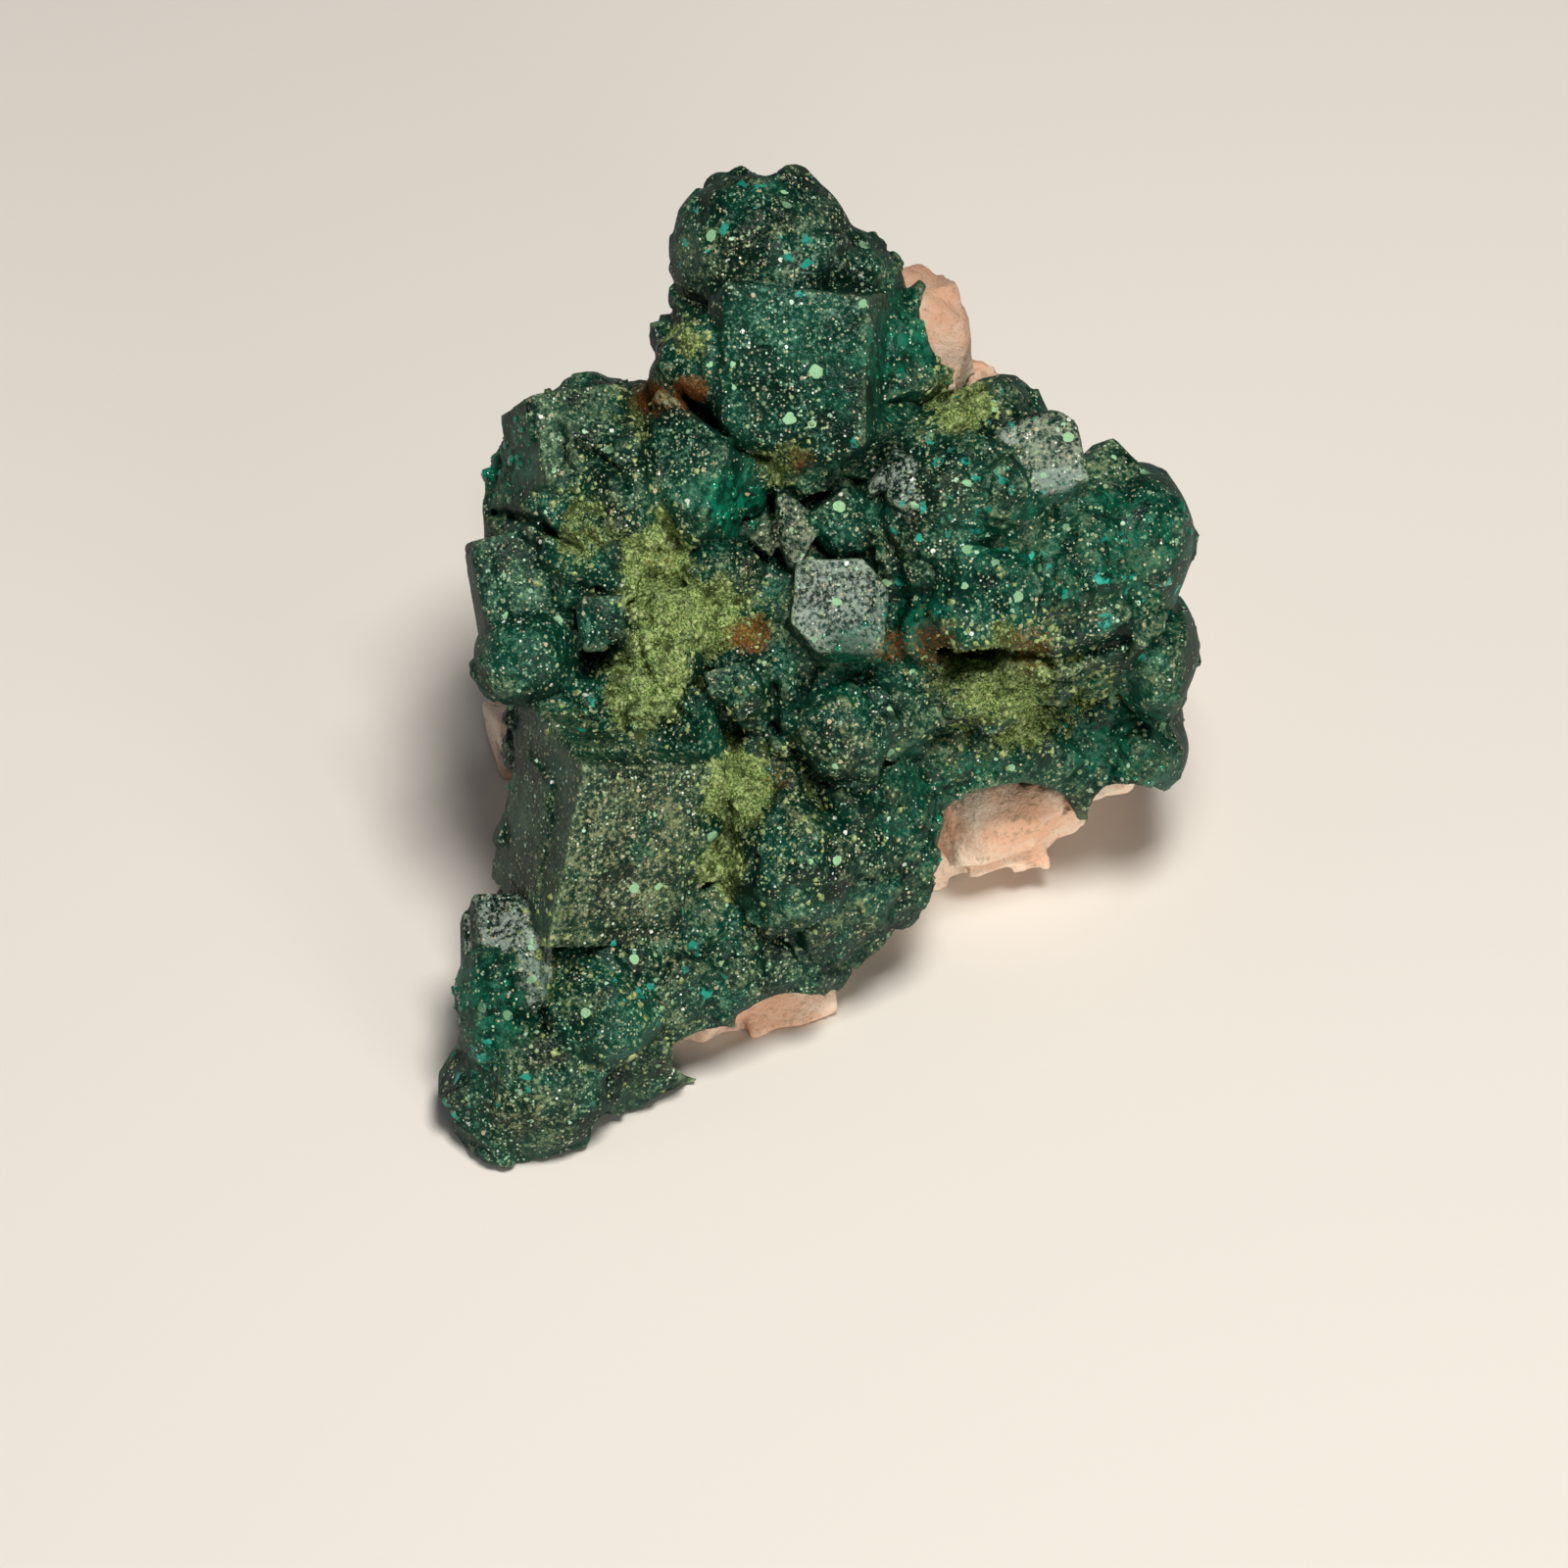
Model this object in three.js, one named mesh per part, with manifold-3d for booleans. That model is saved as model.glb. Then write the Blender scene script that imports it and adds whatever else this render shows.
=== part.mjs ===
// A dioptase specimen: stubby dark green crystals grown over one face of a pale pink calcite rock.
// It is a loose piece that stands on the flat broken base of the rock, with its crystal face
// leaning back. Two solids: the rock, and the crust of crystals grown together that wraps it.
//
// The crystals are laid out on the display face, the way one looks at the piece: across to the
// right, up the face, and out of the face. The display face looks up at FACE_LOOKS_UP degrees.
// Everything is in millimetres. +Z is up, and the piece stands on Z = 0.
import * as THREE from "three";
import Module from "manifold-3d";
import { ConvexGeometry } from "three/addons/geometries/ConvexGeometry.js";
import { ImprovedNoise } from "three/addons/math/ImprovedNoise.js";
import { mergeVertices } from "three/addons/utils/BufferGeometryUtils.js";

const wasm = await Module();
wasm.setup();

// Driving dimensions
const FACE_LOOKS_UP = 49; // degrees above the horizon that the display face looks
const FACE_HEIGHT = 27; // height of the middle of the display face above the base
const FOOT_MIDDLE = [0.3, 7.0, 0]; // middle of the footprint, seen from the face's middle
const GROWTH_GAP = 0.45; // the rock is pushed out this far before the crust is cut by it
const CRUST_LIFT = 0.25; // the crust's lowest edge ends this far above the base

// Dioptase habit: a six-sided prism with three rhombic faces at each end
const CAP_LEAN = 50.9; // degrees between the c axis and the normal of a rhombic end face
const PRISM_SIDES = 6;
const CAP_FACES = 3;

// Roughness of the grown and the broken surfaces
const KNOB_ROUGH = { size: 3.1, depth: 0.16 }; // depth is a share of the knob's radius
const ROCK_ROUGH = { size: 4.2, depth: 0.85 }; // depth in millimetres
const KNOB_DETAIL = 2;
const SMALL_KNOB = 3.9; // a knob of no more than this radius has fewer facets
const ROCK_DETAIL = 8;

const noise = new ImprovedNoise();

// The display face's own axes, and the way from it to the specimen's frame
const tilt = THREE.MathUtils.degToRad(90 - FACE_LOOKS_UP);
const footMiddle = new THREE.Vector3(...FOOT_MIDDLE);
const faceToBase = new THREE.Matrix4()
  .makeRotationX(tilt)
  .setPosition(new THREE.Vector3(0, 0, FACE_HEIGHT).sub(footMiddle));

// The rock, a block bounded by broken planes: a direction it faces, and a point on the plane,
// both in the specimen's own axes before its footprint is centred.
const ROCK_HEART = [1, 14, 12];
const ROCK_PLANES = [
  { looks: [0, 0, -1], through: [0, 0, -1.5] },
  { looks: [0.62, -0.78, 0.05], through: [4, 3.4, 3] },
  { looks: [0.5, -0.6, 0.62], through: [10, 9, 17] },
  { looks: [-0.97, -0.2, 0.12], through: [-14.0, 4, 10] },
  { looks: [-0.75, 0.62, 0.22], through: [-13, 22, 14] },
  { looks: [-0.1, 0.98, 0.15], through: [0, 27.2, 12] },
  { looks: [0.6, 0.78, 0.2], through: [12, 25.5, 12] },
  { looks: [0.98, 0.05, 0.2], through: [18.2, 14, 8] },
  { looks: [0, -0.66, 0.75], through: [0, 10.5, 24.2] },
  { looks: [0.35, 0.72, 0.6], through: [4, 26, 31.5] },
  { looks: [-0.55, 0.35, 0.75], through: [-9, 20, 29] },
  { looks: [0.74, 0.1, 0.66], through: [13, 20, 27] },
  { looks: [0, 0.3, 0.95], through: [2, 22, 36.2] },
];
// Bumps of bare rock that show beside the crystals: middle and radii, in the display face's axes
const ROCK_BUMPS = [
  { at: [5.4, 19.8, -9.4], radii: [4.2, 4.8, 4.2] },
  { at: [9.6, -6.2, -26.0], radii: [6.2, 5.0, 3.6] },
  { at: [-1.6, -18.4, -18.6], radii: [3.6, 2.6, 3.0] },
  { at: [-5.4, -20.6, -17.4], radii: [3.4, 2.4, 3.0] },
  { at: [17.4, -4.4, -25.5], radii: [3.6, 3.0, 4.2] },
];

// The body of the crust: broad swellings over the rock, in the display face's axes
const SWELLINGS = [
  { at: [-1.8, 17.4, -9.0], radii: [7.4, 9.4, 8.4] },
  { at: [3.6, 18.4, -9.8], radii: [5.6, 5.0, 6.2] },
  { at: [7.6, 9.8, -9.6], radii: [6.8, 6.4, 8.0] },
  { at: [14.2, 5.4, -10.4], radii: [7.4, 6.8, 8.2] },
  { at: [-11.6, 8.6, -10.2], radii: [7.8, 8.6, 8.0] },
  { at: [-2.0, 4.2, -12.0], radii: [10.0, 9.6, 7.6] },
  { at: [-10.8, -5.6, -9.8], radii: [7.4, 9.8, 8.0] },
  { at: [-11.4, -16.2, -10.6], radii: [8.0, 8.8, 7.0] },
  { at: [-16.6, -23.6, -10.4], radii: [4.8, 5.0, 4.4] },
  { at: [-1.6, -8.6, -12.6], radii: [9.0, 9.0, 8.0] },
  { at: [7.6, -4.4, -17.6], radii: [9.8, 5.6, 7.2] },
  { at: [15.6, -2.6, -20.4], radii: [6.2, 4.8, 6.2] },
  { at: [-6.6, -16.4, -14.2], radii: [8.2, 5.6, 6.4] },
];

// Rounded lumps of fine crystals: middle and radii, in the display face's axes
const KNOBS = [
  { at: [-2.6, 24.0, -4.8], radii: [5.0, 5.0, 4.6] }, // top
  { at: [2.2, 22.8, -6.6], radii: [4.8, 4.4, 4.4] },
  { at: [-6.4, 18.6, -4.6], radii: [1.5, 3.0, 3.0] }, // left of the upper main crystal
  { at: [-8.2, 16.8, -4.6], radii: [1.4, 1.6, 2.0] },
  { at: [-10.8, 10.2, -5.2], radii: [3.2, 4.4, 4.6] }, // left lobe
  { at: [-16.9, 0.8, -6.4], radii: [2.6, 2.6, 3.6] },
  { at: [9.2, 10.4, -5.6], radii: [5.0, 3.8, 5.0] }, // right lobe
  { at: [10.2, 13.8, -8.4], radii: [3.6, 3.4, 4.6] },
  { at: [19.4, 7.6, -8.6], radii: [2.8, 4.0, 4.6] },
  { at: [20.6, 0.8, -13.0], radii: [2.0, 3.6, 5.0] },
  { at: [19.4, -4.6, -17.6], radii: [2.6, 2.8, 4.0] }, // lower right tail
  { at: [16.8, -6.0, -18.4], radii: [3.0, 2.2, 3.0] },
  { at: [8.0, -0.6, -12.4], radii: [5.4, 3.8, 5.0] },
  { at: [1.2, -3.8, -7.0], radii: [3.0, 2.6, 3.0] }, // below the middle crystal
  { at: [4.4, -2.4, -8.6], radii: [2.6, 2.6, 3.0] },
  { at: [-1.4, -11.2, -8.8], radii: [4.2, 4.6, 4.2] }, // lower flank
  { at: [3.2, -9.4, -13.4], radii: [3.6, 3.8, 4.2] },
  { at: [-6.4, -17.8, -11.4], radii: [4.2, 3.2, 3.6] },
  { at: [-12.6, -20.4, -8.6], radii: [3.4, 3.0, 3.2] },
  { at: [-18.6, -19.8, -8.6], radii: [2.4, 3.8, 3.4] },
  { at: [-20.4, -24.6, -10.4], radii: [1.7, 1.8, 2.4] }, // foot of the tip
  { at: [-18.0, -26.8, -10.4], radii: [3.2, 2.4, 2.6] },
  { at: [-12.6, -23.4, -12.0], radii: [3.0, 2.4, 2.8] },
  { at: [-9.0, 1.6, -5.0], radii: [3.2, 3.8, 2.8] }, // coated valley
  { at: [-5.4, 5.8, -4.8], radii: [2.8, 2.4, 2.4] },
];

// Single crystals: middle, width across the prism, length along the c axis, the way one of the
// rhombic end faces looks, the way the c axis leans from there, and how far the crystal is drawn
// out, if it is.
const CRYSTALS = [
  // beside the largest one, low on the left
  { at: [-17.0, -15.4, -6.2], width: 5.0, length: 7.2, face: [-0.5, 0.1, 0.85], lean: [0.5, 0.7, 0.3] },
  { at: [-9.6, -2.2, -5.0], width: 4.6, length: 6.2, face: [0.1, 0.5, 0.86], lean: [0.6, -0.5, 0.3] },
  // the upper main crystal
  { at: [0.9, 16.6, -4.4], width: 9.4, length: 12.0, face: [-0.18, -0.08, 0.98], lean: [0.66, 0.72, 0.1] },
  { at: [-2.4, 15.0, -4.4], width: 6.2, length: 8.4, face: [-0.35, -0.3, 0.9], lean: [-0.5, 0.8, 0.2] },
  { at: [3.8, 13.6, -5.2], width: 5.0, length: 7.0, face: [0.2, -0.6, 0.8], lean: [0.8, 0.3, 0.1] },
  // the top
  { at: [-3.2, 23.4, -4.6], width: 7.2, length: 9.0, face: [-0.1, 0.1, 0.99], lean: [0.3, 0.9, 0.1] },
  { at: [1.0, 23.0, -5.4], width: 5.4, length: 7.4, face: [0.35, 0.5, 0.8], lean: [0.7, -0.6, 0.1] },
  // the middle
  { at: [1.5, 3.4, -3.8], width: 5.0, length: 6.8, face: [-0.06, 0.24, 0.97], lean: [-0.6, 0.7, 0.2],
    drawn: [1.0, -1.0, 0] },
  { at: [1.6, 8.6, -5.2], width: 3.9, length: 5.4, face: [0.05, -0.1, 0.99], lean: [0.1, 0.95, 0.2] },
  { at: [-1.6, 8.0, -4.2], width: 1.4, length: 2.2, face: [0.2, 0.1, 0.97], lean: [0.9, 0.2, 0],
    drawn: [-0.6, 3.0, 0] },
  { at: [-7.0, 11.6, -4.0], width: 5.2, length: 7.0, face: [-0.34, 0.2, 0.92], lean: [0.8, 0.4, 0.2],
    drawn: [0.6, -1.2, 0] },
  { at: [-4.6, -1.6, -5.4], width: 3.7, length: 5.2, face: [0.1, 0.2, 0.97], lean: [-0.8, 0.4, 0.2] },
  // the left lobe
  { at: [-14.2, 12.6, -6.2], width: 7.4, length: 9.4, face: [0.3, 0.3, 0.9], lean: [-0.7, 0.6, 0.2],
    drawn: [-0.6, 0.8, 0] },
  { at: [-11.6, 8.4, -5.0], width: 4.8, length: 6.6, face: [0.35, 0, 0.94], lean: [-0.2, -0.9, 0.1] },
  { at: [-17.8, 5.0, -6.4], width: 5.0, length: 6.8, face: [0.1, 0.1, 0.99], lean: [-0.8, 0.5, 0],
    drawn: [0.2, -1.6, 0] },
  { at: [-12.4, 2.8, -3.6], width: 3.4, length: 4.6, face: [0.05, 0, 0.99], lean: [0.65, 0.75, 0] },
  // the right lobe
  { at: [5.4, 10.6, -3.4], width: 3.2, length: 4.4, face: [-0.2, 0.25, 0.95], lean: [0.2, -0.9, 0.2] },
  { at: [7.8, 9.8, -3.6], width: 3.6, length: 4.8, face: [0.1, 0.3, 0.95], lean: [0.9, 0, 0.1] },
  { at: [13.3, 11.9, -4.4], width: 5.0, length: 6.4, face: [0.1, 0.35, 0.93], lean: [0.8, -0.5, 0.1],
    drawn: [1.2, -0.6, 0] },
  { at: [10.6, 3.8, -5.0], width: 5.4, length: 7.2, face: [-0.12, -0.1, 0.98], lean: [0.5, -0.8, 0],
    drawn: [0.4, -1.0, 0] },
  { at: [7.6, 5.0, -6.0], width: 4.0, length: 5.6, face: [-0.4, -0.1, 0.9], lean: [-0.5, -0.8, 0] },
  { at: [16.8, 5.2, -7.2], width: 6.6, length: 8.6, face: [0.35, 0.12, 0.93], lean: [0.5, -0.8, 0.1],
    drawn: [0, -1.2, 0] },
  { at: [17.4, 9.9, -7.2], width: 5.0, length: 6.6, face: [0.2, 0.45, 0.86], lean: [0.9, 0.1, 0.1] },
  { at: [13.6, 0.8, -8.6], width: 5.0, length: 7.0, face: [0, -0.5, 0.86], lean: [-0.6, -0.6, 0] },
  // the lower flank
  { at: [-8.2, -14.4, -9.4], width: 3.6, length: 5.2, face: [0.4, -0.3, 0.86], lean: [0.6, 0.6, 0.2] },
  { at: [8.4, -5.2, -15.2], width: 4.6, length: 6.2, face: [0.1, -0.2, 0.97], lean: [0.7, -0.6, 0] },
  { at: [-2.6, -10.6, -8.4], width: 6.0, length: 7.6, face: [0.4, -0.3, 0.86], lean: [-0.3, 0.8, 0.3] },
  { at: [12.8, -3.4, -17.6], width: 4.2, length: 6.0, face: [0.1, 0.4, 0.9], lean: [0.3, -0.9, 0.1] },
];

// Crystals with their rhombic faces alone, which makes them nearly cubes: the foremost corner and
// the three edges that run back from it.
const RHOMBS = [
  // the largest one, low on the left
  { corner: [-13.35, -5.9, 1.0], edges: [[-2.29, -10.7, -5.12], [7.62, 0.17, -3.76], [-3.61, 4.18, -7.12]] },
];

const ROCK_COLOUR = 0xcaa58c;
const CRYSTAL_COLOUR = 0x1f4a3c;

const vector = (list) => new THREE.Vector3(...list);

// The solid inside a closed geometry.
function solidOf(geometry) {
  const bare = geometry.clone();
  bare.deleteAttribute("normal");
  bare.deleteAttribute("uv");
  const merged = mergeVertices(bare, 1e-4);
  return new wasm.Manifold(
    new wasm.Mesh({
      numProp: 3,
      vertProperties: merged.attributes.position.array,
      triVerts: new Uint32Array(merged.index.array),
    }),
  );
}

function geometryOf(solid) {
  const mesh = solid.getMesh();
  const geometry = new THREE.BufferGeometry();
  geometry.setAttribute("position", new THREE.BufferAttribute(mesh.vertProperties, mesh.numProp));
  geometry.setIndex(new THREE.BufferAttribute(mesh.triVerts, 1));
  geometry.computeVertexNormals();
  return geometry;
}

// The smooth random height at a point, about -1 to 1.
function roughness(point, size) {
  const p = point.clone().divideScalar(size);
  return noise.noise(p.x, p.y, p.z) + 0.5 * noise.noise(p.x * 2.1 + 7, p.y * 2.1, p.z * 2.1);
}

// Where three planes meet, or null where two of them are parallel.
function meetingPoint(a, b, c) {
  const cross = new THREE.Vector3().crossVectors(b.normal, c.normal);
  const volume = a.normal.dot(cross);
  if (Math.abs(volume) < 1e-6) return null;
  return cross
    .multiplyScalar(-a.constant)
    .add(new THREE.Vector3().crossVectors(c.normal, a.normal).multiplyScalar(-b.constant))
    .add(new THREE.Vector3().crossVectors(a.normal, b.normal).multiplyScalar(-c.constant))
    .divideScalar(volume);
}

// The convex block inside a set of planes whose normals face outwards.
function blockInside(planes) {
  const corners = [];
  planes.forEach((a, i) =>
    planes.slice(i + 1).forEach((b, j) =>
      planes.slice(i + j + 2).forEach((c) => {
        const corner = meetingPoint(a, b, c);
        if (corner && planes.every((p) => p.distanceToPoint(corner) < 1e-5)) corners.push(corner);
      }),
    ),
  );
  return new ConvexGeometry(corners);
}

// One dioptase crystal: a prism about its c axis, with three rhombic faces at either end. A
// crystal that is drawn out keeps the angles of its faces.
function crystal({ at, width, length, face, lean, drawn = [0, 0, 0] }) {
  const capLean = THREE.MathUtils.degToRad(CAP_LEAN);
  const cap = vector(face).normalize();
  const c = vector(lean)
    .projectOnPlane(cap)
    .setLength(Math.sin(capLean))
    .addScaledVector(cap, Math.cos(capLean));
  const towards = cap.clone().projectOnPlane(c).normalize();
  const aside = new THREE.Vector3().crossVectors(c, towards);
  const middle = vector(at);
  const planes = [];
  const addPlane = (azimuth, alongAxis, across, reach) => {
    const normal = new THREE.Vector3()
      .addScaledVector(towards, Math.cos(azimuth) * across)
      .addScaledVector(aside, Math.sin(azimuth) * across)
      .addScaledVector(c, alongAxis);
    const stretch = Math.abs(normal.dot(vector(drawn))) / 2;
    planes.push(new THREE.Plane(normal, -reach - stretch - normal.dot(middle)));
  };
  for (let side = 0; side < PRISM_SIDES; side++) {
    addPlane(((side + 0.5) * 2 * Math.PI) / PRISM_SIDES, 0, 1, width / 2);
  }
  for (let end = 0; end < CAP_FACES; end++) {
    const azimuth = (end * 2 * Math.PI) / CAP_FACES;
    const reach = (length / 2) * Math.cos(capLean);
    addPlane(azimuth, Math.cos(capLean), Math.sin(capLean), reach);
    addPlane(azimuth + Math.PI, -Math.cos(capLean), Math.sin(capLean), reach);
  }
  return solidOf(blockInside(planes).applyMatrix4(faceToBase));
}

// A crystal bounded by its rhombic faces alone.
function rhomb({ corner, edges }) {
  const corners = [vector(corner)];
  edges.forEach((edge) => corners.push(...corners.map((at) => at.clone().add(vector(edge)))));
  return solidOf(new ConvexGeometry(corners).applyMatrix4(faceToBase));
}

// A ball of facets whose corners are each moved to the place worked out from their direction.
function shapedBall(detail, placeOf) {
  const ball = new THREE.IcosahedronGeometry(1, detail);
  ball.deleteAttribute("normal");
  ball.deleteAttribute("uv");
  const geometry = mergeVertices(ball, 1e-4);
  const position = geometry.attributes.position;
  for (let i = 0; i < position.count; i++) {
    const place = placeOf(new THREE.Vector3().fromBufferAttribute(position, i));
    position.setXYZ(i, place.x, place.y, place.z);
  }
  return geometry;
}

// The same geometry with its surface moved outwards.
function pushedOut(geometry, distance) {
  geometry.computeVertexNormals();
  const position = geometry.attributes.position;
  for (let i = 0; i < position.count; i++) {
    const normal = new THREE.Vector3().fromBufferAttribute(geometry.attributes.normal, i);
    const place = new THREE.Vector3().fromBufferAttribute(position, i);
    place.addScaledVector(normal, distance);
    position.setXYZ(i, place.x, place.y, place.z);
  }
  return geometry;
}

// A rounded lump with an uneven surface.
function knob({ at, radii }) {
  const detail = Math.max(...radii) > SMALL_KNOB ? KNOB_DETAIL : KNOB_DETAIL - 1;
  const middle = vector(at);
  const reach = vector(radii);
  return shapedBall(detail, (direction) => {
    const even = direction.clone().multiply(reach);
    const swell = 1 + KNOB_ROUGH.depth * roughness(even.clone().add(middle), KNOB_ROUGH.size);
    return even.multiplyScalar(swell).add(middle);
  }).applyMatrix4(faceToBase);
}

// The rock's main block: a ball of facets drawn out to the nearest of its planes, and roughened
// like a broken surface.
function rockBlock() {
  const heart = vector(ROCK_HEART).sub(footMiddle);
  const planes = ROCK_PLANES.map(({ looks, through }) => {
    const normal = vector(looks).normalize();
    return new THREE.Plane(normal, -normal.dot(vector(through).sub(footMiddle)));
  });
  return shapedBall(ROCK_DETAIL, (direction) => {
    const reach = planes
      .filter((plane) => plane.normal.dot(direction) > 0.01)
      .map((plane) => -plane.distanceToPoint(heart) / plane.normal.dot(direction))
      .reduce((nearest, distance) => Math.min(nearest, distance));
    const even = heart.clone().addScaledVector(direction, reach);
    const rough = ROCK_ROUGH.depth * roughness(even, ROCK_ROUGH.size);
    return even.addScaledVector(direction, rough);
  });
}

function rock(grow) {
  return [rockBlock(), ...ROCK_BUMPS.map(knob)]
    .map((geometry) => solidOf(pushedOut(geometry, grow)))
    .reduce((whole, piece) => whole.add(piece));
}

// Everything at or below a height, to be cut away.
function groundBelow(height) {
  const depth = 20;
  const slab = new THREE.BoxGeometry(100, 100, depth);
  slab.translate(0, 0, height - depth / 2);
  return solidOf(slab);
}

function largestBody(solid) {
  return solid.decompose().reduce((best, body) => (body.volume() > best.volume() ? body : best));
}

function matrixRock() {
  return largestBody(rock(0).subtract(groundBelow(0)));
}

function crystalCrust() {
  const lumps = [...SWELLINGS, ...KNOBS].map((lump) => solidOf(knob(lump)));
  const pieces = [...lumps, ...CRYSTALS.map(crystal), ...RHOMBS.map(rhomb)];
  const whole = pieces.reduce((sum, piece) => sum.add(piece));
  return largestBody(whole.subtract(rock(GROWTH_GAP)).subtract(groundBelow(CRUST_LIFT)));
}

function namedMesh(name, solid, color, roughnessOfFinish) {
  const material = new THREE.MeshStandardMaterial({
    color,
    roughness: roughnessOfFinish,
    metalness: 0,
    flatShading: true,
  });
  const mesh = new THREE.Mesh(geometryOf(solid), material);
  mesh.name = name;
  return mesh;
}

const specimen = new THREE.Group();
specimen.add(
  namedMesh("matrix_rock", matrixRock(), ROCK_COLOUR, 0.85),
  namedMesh("dioptase_crystals", crystalCrust(), CRYSTAL_COLOUR, 0.4),
);

export default specimen;
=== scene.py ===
"""A dioptase specimen: stubby dark green crystals over one face of a pale pink calcite rock.

The specimen is laid out on its display face, the way one looks at it: across to the right, up the
face, and out of the face, in millimetres. The display face leans back and looks up 49 degrees
above the horizon. The rock stands on its flat broken base at Z = 0.
"""

import logging
import math
from dataclasses import dataclass, field
from enum import Enum
from itertools import combinations
from typing import Any

import bmesh
import bpy
import numpy as np
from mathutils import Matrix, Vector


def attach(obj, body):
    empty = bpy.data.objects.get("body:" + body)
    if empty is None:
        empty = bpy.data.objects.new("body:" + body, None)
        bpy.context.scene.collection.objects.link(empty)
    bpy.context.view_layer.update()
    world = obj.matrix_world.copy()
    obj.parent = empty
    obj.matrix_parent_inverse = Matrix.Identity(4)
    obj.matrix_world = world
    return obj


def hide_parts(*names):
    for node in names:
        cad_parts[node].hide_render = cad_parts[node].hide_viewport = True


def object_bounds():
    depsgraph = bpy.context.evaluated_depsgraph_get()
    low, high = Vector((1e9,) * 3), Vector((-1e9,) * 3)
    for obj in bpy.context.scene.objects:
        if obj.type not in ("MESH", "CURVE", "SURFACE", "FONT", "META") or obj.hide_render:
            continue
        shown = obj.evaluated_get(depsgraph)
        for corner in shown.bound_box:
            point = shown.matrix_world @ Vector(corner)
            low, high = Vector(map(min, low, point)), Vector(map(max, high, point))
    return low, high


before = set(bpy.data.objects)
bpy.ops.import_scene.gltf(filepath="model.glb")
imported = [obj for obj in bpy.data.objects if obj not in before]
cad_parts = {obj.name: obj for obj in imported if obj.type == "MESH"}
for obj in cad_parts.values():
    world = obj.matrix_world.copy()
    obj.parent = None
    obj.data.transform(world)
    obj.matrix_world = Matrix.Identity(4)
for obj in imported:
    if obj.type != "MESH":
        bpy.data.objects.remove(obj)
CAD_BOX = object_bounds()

import openvdb
from mathutils import Vector

LOG = logging.getLogger("dioptase")
MM = 0.001  # a millimetre, in metres
CAP_LEAN_DEG = 50.9  # between a rhombic end face's normal and the c axis

Triple = tuple[float, float, float]
Pair = tuple[float, float]


class Zone(Enum):
    """What lies on the crystals at a place: each is a weight kept on the mesh."""

    POWDER = "powder"  # matte yellow-green powder in the valleys
    RUST = "rust"  # orange-brown iron stain in the crevices
    TURQUOISE = "turquoise"  # blue-green flecks
    CLEAN = "clean"  # glassy faces with no film, deep green
    PALE = "pale"  # faces with a thick grey-white film, partly pale dust and partly a painted highlight where they glint


class Place(Enum):
    """What the meshing works out for each point of the surface."""

    FILM = "film"  # how far the surface looks out of the display face, where dust lies
    HOLLOW = "hollow"  # how deep the point lies between its neighbours
    EDGE = "edge"  # how sharp an edge the point is on
    TINT = "tint"  # a number of its own for each crystal


def unit(vector: Any) -> np.ndarray:
    """The vector at length one."""
    vector = np.asarray(vector, dtype=float)
    return vector / np.linalg.norm(vector)


@dataclass(frozen=True)
class Lump:
    """A rounded form: its middle and radii on the display face's axes, in millimetres."""

    at: Triple
    radii: Triple


@dataclass(frozen=True)
class Block:
    """A convex solid between planes, on the display face's axes.

    Attributes:
        middle: a point inside it.
        normals: the outward normals of its planes, one to a row.
        reaches: how far each plane lies from the middle.
        tint: its own shade, from 0 to 1.
    """

    middle: np.ndarray
    normals: np.ndarray
    reaches: np.ndarray
    tint: float

    def moved(self, share: float, middle: np.ndarray, tint: float) -> "Block":
        """A smaller block of the same shape and setting, somewhere else."""
        return Block(middle, self.normals, self.reaches * share, tint)


@dataclass(frozen=True)
class Crystal:
    """A dioptase crystal, a six-sided prism with three rhombic faces at each end.

    Attributes:
        at: its middle, on the display face's axes, in millimetres.
        width: across the prism's flats.
        length: from tip to tip along the c axis.
        face: the way one of its rhombic end faces looks.
        lean: the way the c axis leans from there.
        drawn: how far the crystal is drawn out, and which way.
        steps: how many smaller parallel crystals stand out of its faces.
        tint: its own shade, from 0 to 1.
    """

    at: Triple
    width: float
    length: float
    face: Triple
    lean: Triple
    drawn: Triple = (0.0, 0.0, 0.0)
    steps: int = 4
    tint: float = 0.5

    def block(self) -> Block:
        """Works out the planes that bound the crystal.

        Returns:
            The crystal as a block.
        """
        lean = math.radians(CAP_LEAN_DEG)
        cap = unit(self.face)
        away = np.asarray(self.lean, dtype=float)
        away = unit(away - cap * away.dot(cap))
        c_axis = cap * math.cos(lean) + away * math.sin(lean)
        towards = unit(cap - c_axis * cap.dot(c_axis))
        aside = np.cross(c_axis, towards)
        normals, reaches = [], []
        for side in range(6):
            angle = math.radians(60 * side + 30)
            normals.append(towards * math.cos(angle) + aside * math.sin(angle))
            reaches.append(self.width / 2)
            # an end face at every second side, and those of the other end between them
            way = 1 if side % 2 == 0 else -1
            angle = math.radians(60 * side)
            across = towards * math.cos(angle) + aside * math.sin(angle)
            normals.append(across * math.sin(lean) + c_axis * (way * math.cos(lean)))
            reaches.append(self.length / 2 * math.cos(lean))
        normals = np.array(normals)
        stretch = np.abs(normals @ np.asarray(self.drawn, dtype=float)) / 2
        return Block(np.asarray(self.at, dtype=float), normals, np.array(reaches) + stretch, self.tint)


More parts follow.
